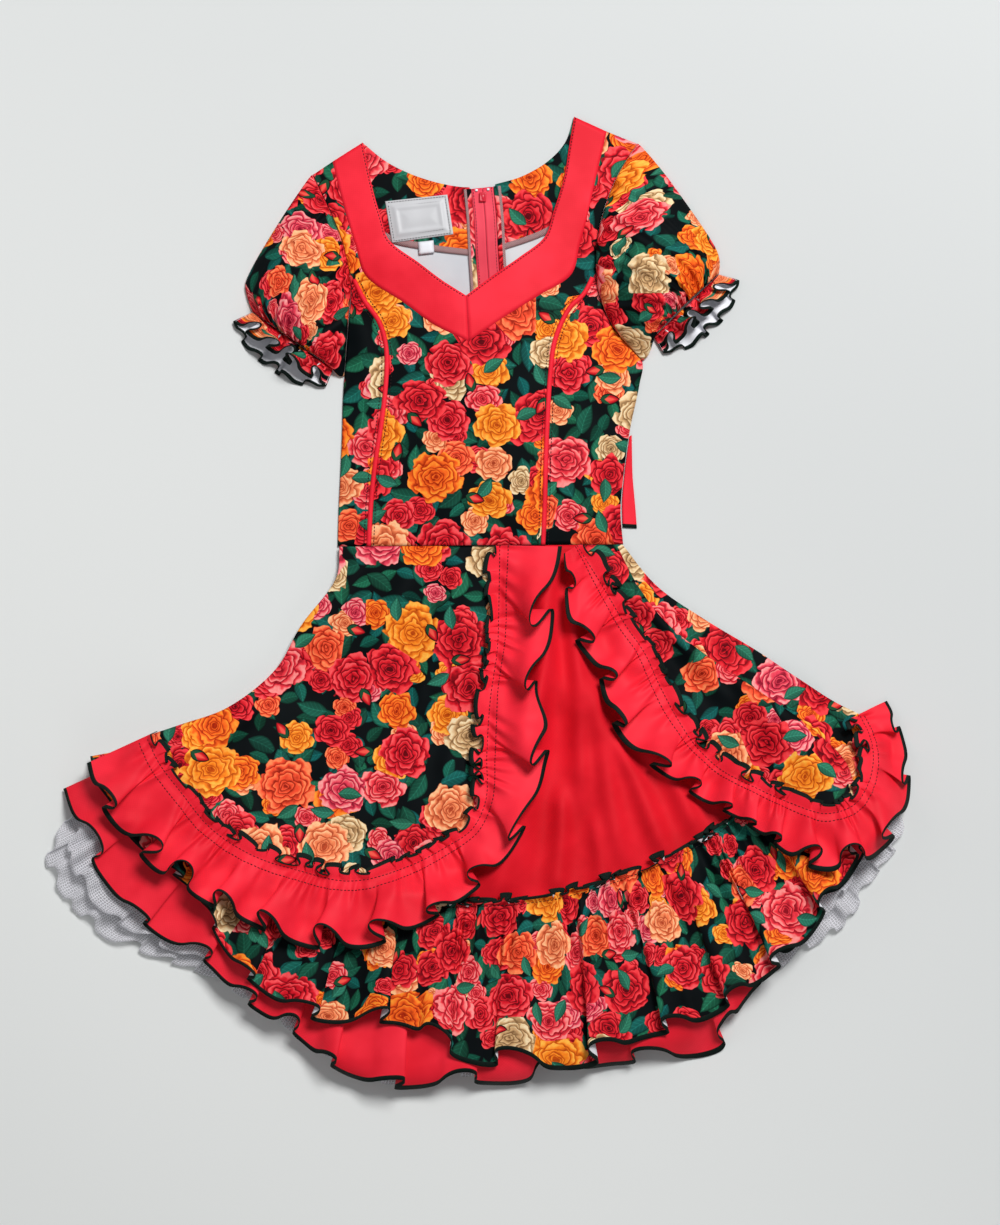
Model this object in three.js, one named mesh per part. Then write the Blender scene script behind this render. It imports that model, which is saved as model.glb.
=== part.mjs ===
// Girls' dress with a dropped waist, laid flat on its back. Millimetres, +Y to the neck, +Z up.
// The origin is under the middle of the dress, on the surface that it lies on.
import * as THREE from 'three';

// Driving sizes
const CLOTH = 1.3;        // wall of a printed or plain panel
const NET = 1.1;          // wall of the net petticoat
const TRIM = 1.0;         // facing, label and zip tape
const SEAM_GAP = 0.3;     // clear space between two pieces
const TRIM_BACK = 0.25;   // how far each edge draws back from its seam line
const WAIST_LEFT = [-164, 68];   // the dropped waist seam, from side to side
const WAIST_RIGHT = [167, 70.5];
const PIPING_WIDTH = 5.7;
const PIPING_HEIGHT = 2.2;
const ZIP_TAPE = 13;      // width of one of the two zip tapes
const SLEEVE_EDGE = 3.8;  // height of a sleeve where its two layers meet
const CUFF_LENGTH = 36;   // ruffle of the cuff, from gathers to hem
const HEADING = 18;       // ruffle cloth that stands past its gathering stitches
const FLOUNCE_HEADING = 12;
const MIDDLE = [1.5, -3.25]; // moves the outlines so that the origin is under their middle

const finish = (color, roughness) => new THREE.MeshStandardMaterial({ color, roughness, metalness: 0 });
const PRINT = finish(0x9c3a2c, 0.75);
const CORAL = finish(0xee3046, 0.7);
const WHITE = finish(0xe6e6ec, 0.8);
const SATIN = finish(0xb9b7b8, 0.45);
const TAPE = finish(0xdb2c40, 0.6);

const dress = new THREE.Group();
dress.name = 'girls_dress';

// Curves and small sums
const mix = (a, b, t) => a + (b - a) * t;
const clamp = (t) => Math.min(1, Math.max(0, t));
const ease = (t) => clamp(t) * clamp(t) * (3 - 2 * clamp(t));
const bump = (t) => 0.5 - 0.5 * Math.cos(2 * Math.PI * t);

const between = (p, q, t) => [mix(p[0], q[0], t), mix(p[1], q[1], t)];

function curve(points) {
  // A smooth line through plan points, read by the share of its length
  const spline = new THREE.CatmullRomCurve3(points.map(([x, y]) => new THREE.Vector3(x, y, 0)), false, 'centripetal');
  spline.arcLengthDivisions = 400;
  const read = (t) => {
    const p = spline.getPointAt(clamp(t));
    return [p.x, p.y];
  };
  read.length_mm = spline.getLength();
  return read;
}

function straight(...corners) {
  // A line through corners that are evenly spaced along its share
  return (t) => {
    const place = clamp(t) * (corners.length - 1);
    const i = Math.min(corners.length - 2, Math.floor(place));
    return [0, 1].map((axis) => mix(corners[i][axis], corners[i + 1][axis], place - i));
  };
}

function table(rows, key, column) {
  // Reads one column of a table at a key, with straight steps between rows
  return (value) => {
    let i = rows.findIndex((row) => row[key] >= value);
    if (i < 0) return rows[rows.length - 1][column];
    if (i === 0) return rows[0][column];
    const t = (value - rows[i - 1][key]) / (rows[i][key] - rows[i - 1][key]);
    return mix(rows[i - 1][column], rows[i][column], t);
  };
}

// Plan surfaces: points with their shares across and down, and triangles
function grid(across, down, place) {
  const points = [];
  const shares = [];
  const faces = [];
  for (let j = 0; j <= down; j += 1) {
    for (let i = 0; i <= across; i += 1) {
      points.push(place(i / across, j / down));
      shares.push([i / across, j / down]);
    }
  }
  for (let j = 0; j < down; j += 1) {
    for (let i = 0; i < across; i += 1) {
      const a = j * (across + 1) + i;
      const c = a + across + 1;
      faces.push([a, c, a + 1], [a + 1, c, c + 1]);
    }
  }
  return turnUp({ points, shares, faces, across, down });
}

function turnUp(surface) {
  // Turns the triangles so that they face up
  let area = 0;
  for (const [a, b, c] of surface.faces) area += doubledArea(surface.points, a, b, c);
  if (area < 0) surface.faces = surface.faces.map(([a, b, c]) => [a, c, b]);
  return surface;
}

function doubledArea(points, a, b, c) {
  const [p, q, r] = [points[a], points[b], points[c]];
  return (q[0] - p[0]) * (r[1] - p[1]) - (q[1] - p[1]) * (r[0] - p[0]);
}

function panel(across, down, { top, right, bottom, left }) {
  // A panel of cloth between its four edges
  const corner = [top(0), top(1), bottom(0), bottom(1)];
  return grid(across, down, (s, t) => [0, 1].map((axis) => {
    const rows = mix(top(s)[axis], bottom(s)[axis], t);
    const columns = mix(left(t)[axis], right(t)[axis], s);
    const flat = mix(mix(corner[0][axis], corner[1][axis], s), mix(corner[2][axis], corner[3][axis], s), t);
    return rows + columns - flat;
  }));
}

function drawBack(surface, sides) {
  // Draws the named edges back from their seam lines
  const { across, down, points } = surface;
  const step = { left: 1, right: -1, top: across + 1, bottom: -(across + 1) };
  for (const side of sides) {
    for (let j = 0; j <= down; j += 1) {
      for (let i = 0; i <= across; i += 1) {
        const here = j * (across + 1) + i;
        const onEdge = { left: i === 0, right: i === across, top: j === 0, bottom: j === down };
        if (!onEdge[side]) continue;
        const next = points[here + step[side]];
        const length = Math.hypot(next[0] - points[here][0], next[1] - points[here][1]);
        points[here] = points[here].map((v, axis) => mix(v, next[axis], TRIM_BACK / length));
      }
    }
  }
  return surface;
}

function join(...surfaces) {
  // One surface from several that share the points of an edge
  const points = [];
  const shares = [];
  const faces = [];
  const known = new Map();
  for (const surface of surfaces) {
    const place = surface.points.map((point, i) => {
      const key = point.map((v) => v.toFixed(3)).join();
      if (!known.has(key)) {
        known.set(key, points.length);
        points.push(point);
        shares.push(surface.shares[i]);
      }
      return known.get(key);
    });
    for (const face of surface.faces) faces.push(face.map((i) => place[i]));
  }
  return { points, shares, faces };
}

// Solids
function addMesh(name, positions, index, material) {
  const geometry = new THREE.BufferGeometry();
  geometry.setAttribute('position', new THREE.Float32BufferAttribute(positions, 3));
  geometry.setIndex(index);
  geometry.computeVertexNormals();
  const mesh = new THREE.Mesh(geometry, material);
  mesh.name = name;
  dress.add(mesh);
  return mesh;
}

function rimOf(faces) {
  const count = new Map();
  const edges = faces.flatMap(([a, b, c]) => [[a, b], [b, c], [c, a]]);
  const key = (a, b) => `${Math.min(a, b)},${Math.max(a, b)}`;
  for (const [a, b] of edges) count.set(key(a, b), (count.get(key(a, b)) ?? 0) + 1);
  return edges.filter(([a, b]) => count.get(key(a, b)) === 1);
}

function addSheet(name, surface, bottoms, tops, material) {
  // A closed wall between a lower and an upper skin, with its edge all round
  const { points, faces } = surface;
  const n = points.length;
  const positions = [
    ...points.flatMap(([x, y], i) => [x, y, bottoms[i]]),
    ...points.flatMap(([x, y], i) => [x, y, tops[i]]),
  ];
  const index = faces.flatMap(([a, b, c]) => [a + n, b + n, c + n, a, c, b]);
  for (const [a, b] of rimOf(faces)) index.push(a, b, b + n, a, b + n, a + n);
  return addMesh(name, positions, index, material);
}

function wallHeights(surface, bottoms, wall) {
  // A wall on a slope is taller upright, so that it keeps its thickness
  const lean = surface.points.map(() => [0, 0, 0]);
  const place = surface.points.map(([x, y], i) => new THREE.Vector3(x, y, bottoms[i]));
  for (const face of surface.faces) {
    const [p, q, r] = face.map((i) => place[i]);
    const normal = q.clone().sub(p).cross(r.clone().sub(p));
    for (const i of face) lean[i] = lean[i].map((v, axis) => v + normal.getComponent(axis));
  }
  return lean.map((n) => Math.min(2, Math.hypot(...n) / Math.max(n[2], 1e-6)) * wall);
}

// The pile: how high the cloth already laid down reaches, on a square grid
class Pile {
  constructor() {
    this.cell = 4;
    this.low = [-540, -600];
    this.size = [270, 300];
    this.height = new Float32Array(this.size[0] * this.size[1]);
  }

  visit(surface, heights, action) {
    // Calls the action with the cell and height of spots all over a surface
    for (const face of surface.faces) {
      const scaled = (i) => surface.points[i].map((v, axis) => (v - this.low[axis]) / this.cell);
      const spots = face.map((i) => [...scaled(i), heights[i]]);
      const span = Math.max(...[0, 1, 2].map((k) => Math.hypot(
        spots[k][0] - spots[(k + 1) % 3][0], spots[k][1] - spots[(k + 1) % 3][1])));
      const parts = Math.max(1, Math.ceil(span * 2));
      for (let a = 0; a <= parts; a += 1) {
        for (let b = 0; a + b <= parts; b += 1) {
          const share = [a / parts, b / parts, 1 - (a + b) / parts];
          const [x, y, z] = [0, 1, 2].map((axis) => share.reduce((sum, w, k) => sum + w * spots[k][axis], 0));
          action(Math.round(y) * this.size[0] + Math.round(x), z);
        }
      }
    }
  }

  add(surface, tops) {
    this.visit(surface, tops, (cell, z) => {
      this.height[cell] = Math.max(this.height[cell], z);
    });
  }

  clearance(surface, bottoms) {
    let least = Infinity;
    this.visit(surface, bottoms, (cell, z) => {
      least = Math.min(least, z - this.height[cell]);
    });
    return least;
  }

  pass(source, r, along, combine) {
    // One run of a square filter along a row or a column
    const [w, h] = this.size;
    const out = new Float32Array(w * h);
    const step = along === 0 ? 1 : w;
    for (let y = 0; y < h; y += 1) {
      for (let x = 0; x < w; x += 1) {
        const here = y * w + x;
        const place = along === 0 ? x : y;
        const last = (along === 0 ? w : h) - 1;
        const from = Math.max(-place, -r);
        const to = Math.min(last - place, r);
        out[here] = combine(source, here, from, to, step);
      }
    }
    return out;
  }

  over(reach, soft) {
    // The height that clears the pile: the most within reach, then smoothed
    const most = (source, here, from, to, step) => {
      let value = 0;
      for (let k = from; k <= to; k += 1) value = Math.max(value, source[here + k * step]);
      return value;
    };
    const mean = (source, here, from, to, step) => {
      let value = 0;
      for (let k = from; k <= to; k += 1) value += source[here + k * step];
      return value / (to - from + 1);
    };
    const blur = Math.ceil(soft / this.cell);
    const wide = Math.ceil(reach / this.cell) + blur + 1;
    const high = this.pass(this.pass(this.height, wide, 0, most), wide, 1, most);
    const smooth = this.pass(this.pass(high, blur, 0, mean), blur, 1, mean);
    return (x, y) => {
      const u = (x - this.low[0]) / this.cell;
      const v = (y - this.low[1]) / this.cell;
      const [i, j] = [Math.floor(u), Math.floor(v)];
      const at = (a, b) => smooth[(j + b) * this.size[0] + i + a];
      return mix(mix(at(0, 0), at(1, 0), u - i), mix(at(0, 1), at(1, 1), u - i), v - j);
    };
  }
}

function longestEdge({ points, faces }) {
  return Math.max(...faces.flatMap(([a, b, c]) => [[a, b], [b, c], [c, a]]).map(
    ([a, b]) => Math.hypot(points[a][0] - points[b][0], points[a][1] - points[b][1])));
}

function layer(pile, pieces, { wall = CLOTH, soft = 10, material }) {
  // Lays the pieces of one layer on the pile, lifted by their own folds, and lets them down until they touch
  const reach = Math.max(...pieces.map(({ surface }) => longestEdge(surface)));
  const over = pile.over(reach, soft);
  const placed = pieces.map(({ name, surface, relief = () => 0 }) => ({
    name,
    surface,
    bottoms: surface.points.map(([x, y], i) => over(x, y) + SEAM_GAP + relief(...surface.shares[i])),
  }));
  const drop = Math.min(...placed.map(({ surface, bottoms }) => pile.clearance(surface, bottoms))) - SEAM_GAP;
  for (const { name, surface, bottoms } of placed) {
    const rest = bottoms.map((z) => z - drop);
    const tall = wallHeights(surface, rest, wall);
    const tops = rest.map((z, i) => z + tall[i]);
    pile.add(surface, tops);
    addSheet(name, surface, rest, tops, material);
  }
}

function lay(pile, name, surface, { relief, ...options }) {
  layer(pile, [{ name, surface, relief }], options);
}

function layFlat(pile, name, surface, bottom, wall, material) {
  // A level sheet at a known height
  const bottoms = surface.points.map(() => bottom);
  const tops = bottoms.map((z) => z + wall);
  addSheet(name, surface, bottoms, tops, material);
  pile.add(surface, tops);
}

// Bodice outlines, from the neck down
const waist = (x) => mix(WAIST_LEFT[1], WAIST_RIGHT[1], (x - WAIST_LEFT[0]) / (WAIST_RIGHT[0] - WAIST_LEFT[0]));
const onWaist = (x) => [x, waist(x)];
const underWaist = (x) => [x, waist(x) - 2 * TRIM_BACK];
const SHOULDER_LEFT = [[-193, 499], [-170, 514], [-135, 536]];
const SHOULDER_RIGHT = [[183, 535], [148, 549], [110, 566]];
const ARMHOLE_LEFT = [[-193, 499], [-174, 460], [-158, 420], [-150, 386], [-148, 362], [-151, 330], [-156, 266]];
const ARMHOLE_RIGHT = [[183, 535], [160, 498], [143, 454], [135, 414], [135, 386], [138, 362], [154, 324], [189, 283]];
const SIDE_LEFT = [[-156, 266], [-158, 236], [-159, 195], [-161, 150], [-163, 107], WAIST_LEFT];
const SIDE_RIGHT = [[189, 283], [186, 256], [175, 204], [168, 155], [164, 109], WAIST_RIGHT];
const BAND_OUTER_LEFT = [[-170, 514], [-156, 458], [-143, 416], [-132, 382], [-85, 348], [-51, 323], [-12, 304]];
const BAND_OUTER_RIGHT = [[148, 549], [136, 498], [126, 454], [116, 415], [107, 383], [70, 358], [29, 332], [-12, 304]];
const BAND_INNER_LEFT = [[-135, 536], [-122, 477], [-113, 447], [-105, 423], [-68, 394], [-43, 375], [-15, 357]];
const BAND_INNER_RIGHT = [[110, 566], [104, 530], [99, 498], [86, 455], [76, 426], [47, 402], [17, 381], [-15, 357]];
const PRINCESS_LEFT = [[-150, 386], [-132, 351], [-116, 328], [-108, 301], [-107, 270], [-112, 218], [-120, 167],
  [-125, 121], onWaist(-128)];
const PRINCESS_RIGHT = [[135, 386], [121, 360], [105, 344], [88, 307], [82, 264], [79, 213], [77, 164],
  [76, 117], onWaist(74)];
const V_POINT = [-12, 304];
const PRINCESS_AT_V = 3;   // the row of each princess seam that lies level with the V
const NECK_BACK_LEFT = [[-135, 536], [-109, 515], [-82, 501], [-49, 490], [-22, 485], [2, 484]];
const NECK_BACK_RIGHT = [[110, 566], [100, 537], [80, 515], [49, 497], [22, 489], [5, 484]];
const ZIP_LINE = [[3.5, 484], [7, 448], [9, 408], [12, 362], [13, 305], [14, 253], [15, 207], [16, 155], [17, 109],
  onWaist(18)];
const FACING_LOW_LEFT = [[-130, 443], [-105, 422], [-56, 411], [-8, 405]];
const FACING_LOW_RIGHT = [[110, 448], [76, 429], [53, 420], [25, 411]];

// How far the front of the bodice rises over the back, by height up the dress
const CROWN = [
  { y: 60, left: -165, right: 167, rise: 5 },
  { y: 144, left: -161, right: 167, rise: 12 },
  { y: 201, left: -159, right: 175, rise: 15 },
  { y: 266, left: -157, right: 187, rise: 17 },
  { y: 320, left: -154, right: 156, rise: 17 },
  { y: 374, left: -149, right: 136, rise: 15 },
  { y: 425, left: -160, right: 137, rise: 11 },
  { y: 470, left: -179, right: 151, rise: 7 },
  { y: 520, left: -193, right: 183, rise: 2 },
  { y: 570, left: -193, right: 183, rise: 0 },
];

function crown(x, y) {
  const left = table(CROWN, 'y', 'left')(y);
  const right = table(CROWN, 'y', 'right')(y);
  const across = Math.min(1, Math.abs((x - (left + right) / 2) / ((right - left) / 2)));
  return table(CROWN, 'y', 'rise')(y) * (1 - across ** 2.6);
}

const whole = (...lists) => lists.flat().filter(
  ([x, y], i, all) => i === 0 || Math.hypot(x - all[i - 1][0], y - all[i - 1][1]) > 1);

function addBodiceBack(pile) {
  const cuts = { left: [ARMHOLE_LEFT, SIDE_LEFT, NECK_BACK_LEFT], right: [ARMHOLE_RIGHT, SIDE_RIGHT, NECK_BACK_RIGHT] };
  for (const [side, [armhole, seam, neck]] of Object.entries(cuts)) {
    const outer = [...armhole, ...seam.slice(1)];
    const surface = drawBack(panel(4, outer.length - 1, {
      top: straight(armhole[0], neck[0]),
      right: curve(whole(neck, ZIP_LINE)),
      bottom: straight(seam[seam.length - 1], ZIP_LINE[ZIP_LINE.length - 1]),
      left: straight(...outer),
    }), ['left', 'right', 'bottom']);
    layFlat(pile, `bodice_back_${side}`, surface, 0, CLOTH, PRINT);
  }
}

function strip(line, from, to, parts, steps) {
  // A strip beside a line, between two distances to its left
  const path = curve(line);
  return grid(steps, parts, (s, t) => {
    const [x, y] = path(t);
    const [x0, y0] = path(t - 0.01);
    const [x1, y1] = path(t + 0.01);
    const length = Math.hypot(x1 - x0, y1 - y0);
    const out = mix(from, to, s);
    return [x - (y1 - y0) / length * out, y + (x1 - x0) / length * out];
  });
}

function addNeckFittings(pile) {
  // Facing, zip tapes, label, size tag, slider and stops, on the inside of the back
  const seat = CLOTH + SEAM_GAP;
  const low = [...ZIP_LINE.slice(0, -1), [17.8, 72]];
  const tapes = { right: [SEAM_GAP / 2, ZIP_TAPE], left: [-ZIP_TAPE, -SEAM_GAP / 2] };
  for (const [side, [from, to]] of Object.entries(tapes)) {
    layFlat(pile, `zip_tape_${side}`, strip(low, from, to, 12, 1), seat, TRIM, TAPE);
  }
  const left = drawBack(panel(8, 3, {
    top: curve([...NECK_BACK_LEFT.slice(0, -1), [-11, 484.5]]),
    bottom: curve(FACING_LOW_LEFT),
    left: straight(NECK_BACK_LEFT[0], FACING_LOW_LEFT[0]),
    right: straight([-11, 484.5], FACING_LOW_LEFT[3]),
  }), ['top', 'right']);
  const right = drawBack(panel(7, 3, {
    top: curve([...NECK_BACK_RIGHT.slice(0, -1), [18.5, 488]]),
    bottom: curve(FACING_LOW_RIGHT),
    left: straight(NECK_BACK_RIGHT[0], FACING_LOW_RIGHT[0]),
    right: straight([18.5, 488], FACING_LOW_RIGHT[3]),
  }), ['top', 'right']);
  layFlat(pile, 'neck_facing_left', left, seat, TRIM, PRINT);
  layFlat(pile, 'neck_facing_right', right, seat, TRIM, PRINT);
  const label = panel(2, 2, {
    top: straight([-109, 468], [-37, 476]),
    bottom: straight([-101, 420], [-30, 430]),
    left: straight([-109, 468], [-101, 420]),
    right: straight([-37, 476], [-30, 430]),
  });
  const tag = panel(1, 1, {
    top: straight([-71, 421], [-53, 423]),
    bottom: straight([-70, 406], [-52, 408]),
    left: straight([-71, 421], [-70, 406]),
    right: straight([-53, 423], [-52, 408]),
  });
  const upper = seat + TRIM + SEAM_GAP;
  layFlat(pile, 'label', label, upper, TRIM, SATIN);
  layFlat(pile, 'size_tag', tag, upper, TRIM, WHITE);
  addBlock('zip_slider', [4.2, 473], [8, 11, 3], upper, TAPE);
  addBlock('zip_stop_left', [-3, 481], [3, 2.5, 1.6], upper, WHITE);
  addBlock('zip_stop_right', [10.5, 482], [3, 2.5, 1.6], upper, WHITE);
}

function addBlock(name, [x, y], [width, length, height], bottom, material) {
  // A small piece with rounded corners, standing on a given height
  const r = Math.min(width, length) * 0.3;
  const shape = new THREE.Shape();
  shape.moveTo(-width / 2 + r, -length / 2);
  shape.lineTo(width / 2 - r, -length / 2);
  shape.absarc(width / 2 - r, -length / 2 + r, r, -Math.PI / 2, 0);
  shape.absarc(width / 2 - r, length / 2 - r, r, 0, Math.PI / 2);
  shape.absarc(-width / 2 + r, length / 2 - r, r, Math.PI / 2, Math.PI);
  shape.absarc(-width / 2 + r, -length / 2 + r, r, Math.PI, Math.PI * 1.5);
  const geometry = new THREE.ExtrudeGeometry(shape, { depth: height, bevelEnabled: false, curveSegments: 1 });
  const mesh = new THREE.Mesh(geometry, material);
  mesh.name = name;
  mesh.position.set(x, y, bottom);
  dress.add(mesh);
}

function addBodiceFront(pile) {
  // All front pieces share one height, so that they meet at the seams
  const over = pile.over(26, 12);
  const height = (x, y) => over(x, y) + SEAM_GAP + crown(x, y);
  const put = (name, surface, material, lift = 0, wall = CLOTH, top = () => 0) => {
    const bottoms = surface.points.map(([x, y]) => height(x, y) + lift);
    const tall = wallHeights(surface, bottoms, wall);
    const tops = bottoms.map((z, i) => z + tall[i] + top(...surface.shares[i]));
    addSheet(name, surface, bottoms, tops, material);
    return tops;
  };
  const seams = {
    left: [SHOULDER_LEFT, ARMHOLE_LEFT, SIDE_LEFT, BAND_OUTER_LEFT, BAND_INNER_LEFT, PRINCESS_LEFT],
    right: [SHOULDER_RIGHT, ARMHOLE_RIGHT, SIDE_RIGHT, BAND_OUTER_RIGHT, BAND_INNER_RIGHT, PRINCESS_RIGHT],
  };
  const centre = [];
  const level = {};
  for (const [side, [shoulder, armhole, seam, bandOuter, bandInner, princess]] of Object.entries(seams)) {
    level[side] = princess[PRINCESS_AT_V];
    const start = armhole.findIndex((point) => point[1] === princess[0][1]);
    centre.push(drawBack(panel(3, bandOuter.length - 1, {
      top: straight(shoulder[0], shoulder[1]),
      left: straight(...armhole.slice(0, start), ...princess.slice(0, PRINCESS_AT_V + 1)),
      right: straight(...bandOuter),
      bottom: straight(level[side], V_POINT),
    }), ['left', 'right']));
    const corner = between(princess[0], armhole[start + 1], 0.12);
    const sidePanel = drawBack(panel(3, princess.length - 1, {
      top: straight(corner, princess[0]),
      left: straight(corner, ...armhole.slice(start + 1), ...seam.slice(1)),
      right: straight(...princess),
      bottom: straight(seam[seam.length - 1], princess[princess.length - 1]),
    }), ['left', 'right', 'bottom']);
    put(`bodice_front_${side}`, sidePanel, PRINT);
    const band = drawBack(panel(2, bandOuter.length - 1, {
      top: straight(shoulder[1], shoulder[2]),
      left: straight(...bandOuter),
      right: straight(...bandInner),
      bottom: straight(V_POINT, bandInner[bandInner.length - 1]),
    }), ['left', 'bottom']);
    put(`neck_band_${side}`, band, CORAL);
    const seamLine = [between(princess[0], princess[1], 0.25), ...princess.slice(1)];
    const cord = strip(seamLine, -PIPING_WIDTH / 2, PIPING_WIDTH / 2, 14, 2);
    put(`piping_${side}`, cord, CORAL, CLOTH * 1.25 + 0.5, 0.8, (s) => (PIPING_HEIGHT - 0.8) * bump(s));
  }
  const body = drawBack(panel(6, PRINCESS_LEFT.length - 1 - PRINCESS_AT_V, {
    top: straight(level.left, V_POINT, level.right),
    left: straight(...PRINCESS_LEFT.slice(PRINCESS_AT_V)),
    right: straight(...PRINCESS_RIGHT.slice(PRINCESS_AT_V)),
    bottom: straight(onWaist(-128), onWaist(-23), onWaist(74)),
  }), ['left', 'right', 'bottom']);
  for (const strap of centre) matchEdge(strap, body);
  put('bodice_front_centre', join(...centre, body), PRINT);
}

function matchEdge(strap, body) {
  // Gives the foot of a shoulder strap the points of the body panel below it
  const first = strap.down * (strap.across + 1);
  for (let i = 0; i <= strap.across; i += 1) {
    const [x, y] = strap.points[first + i];
    const near = body.points.slice(0, body.across + 1).reduce((best, point) => {
      const far = (p) => Math.hypot(p[0] - x, p[1] - y);
      return far(point) < far(best) ? point : best;
    });
    strap.points[first + i] = [...near];
  }
}

// Sleeves: sections from the armhole to the cuff, each from its upper to its lower edge
const SLEEVE_LEFT = [
  { upper: [-195, 500], middle: [-152, 389], lower: [-157, 265], rise: 1 },
  { upper: [-214, 492], middle: [-173, 390], lower: [-159, 265], rise: 18 },
  { upper: [-243, 465], middle: [-196, 380], lower: [-161, 265], rise: 31 },
  { upper: [-262, 434], middle: [-213, 363], lower: [-163, 266], rise: 37 },
  { upper: [-271, 401], middle: [-224, 345], lower: [-165, 267], rise: 34 },
  { upper: [-269, 367], middle: [-226, 326], lower: [-167, 270], rise: 26 },
  { upper: [-263, 340], middle: [-217, 307], lower: [-169, 274], rise: 13 },
];
const SLEEVE_RIGHT = [
  { upper: [185, 536], middle: [136.5, 412], lower: [190, 285], rise: 1 },
  { upper: [213, 531], middle: [164, 413], lower: [193, 286], rise: 18 },
  { upper: [244, 505], middle: [192, 406], lower: [196, 289], rise: 32 },
  { upper: [265, 470], middle: [213, 392], lower: [198, 293], rise: 38 },
  { upper: [276, 434], middle: [228, 374], lower: [200, 298], rise: 35 },
  { upper: [279, 408], middle: [236, 362], lower: [201, 304], rise: 27 },
  { upper: [278, 384], middle: [240, 349], lower: [202, 311], rise: 14 },
];
const SLEEVE_FOLDS = [
  { at: 0.2, height: 3.5 },
  { at: 0.36, height: 2.5 },
  { at: 0.52, height: 4 },
  { at: 0.68, height: 3 },
  { at: 0.84, height: 3 },
];
const ARMHOLE_GAP = 0.55;
const CUFF_WAVES = 8;
const SLEEVE_STEPS = 7;

function tube(name, sections, material) {
  // A flat-bottomed tube: each section holds the outer and the inner ring of its wall
  const positions = [];
  const index = [];
  const count = sections[0].outer.length;
  const at = (section, ring, k) => (section * 2 + ring) * count + (k % count);
  for (const section of sections) positions.push(...section.outer.flat(), ...section.inner.flat());
  const quad = (a, b, c, d) => index.push(a, b, c, a, c, d);
  for (let j = 0; j + 1 < sections.length; j += 1) {
    for (let k = 0; k < count; k += 1) {
      quad(at(j, 0, k), at(j, 0, k + 1), at(j + 1, 0, k + 1), at(j + 1, 0, k));
      quad(at(j, 1, k), at(j + 1, 1, k), at(j + 1, 1, k + 1), at(j, 1, k + 1));
    }
  }
  const last = sections.length - 1;
  for (let k = 0; k < count; k += 1) {
    quad(at(0, 0, k), at(0, 1, k), at(0, 1, k + 1), at(0, 0, k + 1));
    quad(at(last, 0, k), at(last, 0, k + 1), at(last, 1, k + 1), at(last, 1, k));
  }
  const volume = signedVolume(positions, index);
  if (volume < 0) for (let i = 0; i < index.length; i += 3) [index[i + 1], index[i + 2]] = [index[i + 2], index[i + 1]];
  addMesh(name, positions, index, material);
}

function signedVolume(positions, index) {
  const p = (i) => new THREE.Vector3(...positions.slice(3 * i, 3 * i + 3));
  let sum = 0;
  for (let i = 0; i < index.length; i += 3) sum += p(index[i]).dot(p(index[i + 1]).cross(p(index[i + 2])));
  return sum / 6;
}

function ring(edge, width, heights, topSteps, lowSteps) {
  // Outer and inner ring of a flat-bottomed section: over the top, then back along the floor
  const inset = CLOTH / width;
  const shares = [];
  for (let i = 0; i <= topSteps; i += 1) shares.push({ s: i / topSteps, low: false });
  for (let i = lowSteps; i >= 0; i -= 1) shares.push({ s: i / lowSteps, low: true });
  const shrink = (s) => mix(inset, 1 - inset, s);
  return {
    outer: shares.map(({ s, low }) => [...edge(s), low ? 0 : heights(s)]),
    inner: shares.map(({ s, low }) => [...edge(shrink(s)), low ? CLOTH : heights(s) - CLOTH * 1.15]),
  };
}

function addSleeve(side, rows, armhole) {
  const steps = armhole.length - 1;
  const sign = Math.sign(rows[0].upper[0]);
  const head = straight(...armhole);
  const column = (key, axis) => curve(rows.map((row, i) => [i * 10, axis < 0 ? row[key] : row[key][axis]]));
  const read = (key, axis) => {
    const line = column(key, axis);
    return (t) => line(t)[1];
  };
  const edges = ['upper', 'middle', 'lower'].map((key) => [read(key, 0), read(key, 1)]);
  const sections = [];
  for (let j = 0; j <= SLEEVE_STEPS; j += 1) {
    const t = j / SLEEVE_STEPS;
    const rowPlace = t * (rows.length - 1);
    const i = Math.min(rows.length - 2, Math.floor(rowPlace));
    const rise = mix(rows[i].rise, rows[i + 1].rise, rowPlace - i);
    const middle = curve(edges.map(([x, y]) => [x(t), y(t)]));
    const away = ease(3 * t);
    const edge = (s) => [
      mix(head(s)[0] + sign * ARMHOLE_GAP, middle(s)[0], away),
      mix(head(s)[1], middle(s)[1], away),
    ];
    const fold = (s, at) => Math.exp(-(((s - at) / 0.045) ** 2));
    const folds = (s) => SLEEVE_FOLDS.reduce((sum, { at, height }) => sum + height * fold(s, at), 0);
    const gather = ease((t - 0.45) / 0.55);
    const dome = (s) => Math.sin(Math.PI * clamp(s));
    const heights = (s) => SLEEVE_EDGE + rise * dome(s) ** 0.75 + gather * folds(s) * dome(s);
    sections.push(ring(edge, middle.length_mm, heights, 2 * steps, steps));
  }
  tube(`sleeve_${side}`, sections, PRINT);
  addCuff(side, rows[rows.length - 1]);
}

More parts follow.
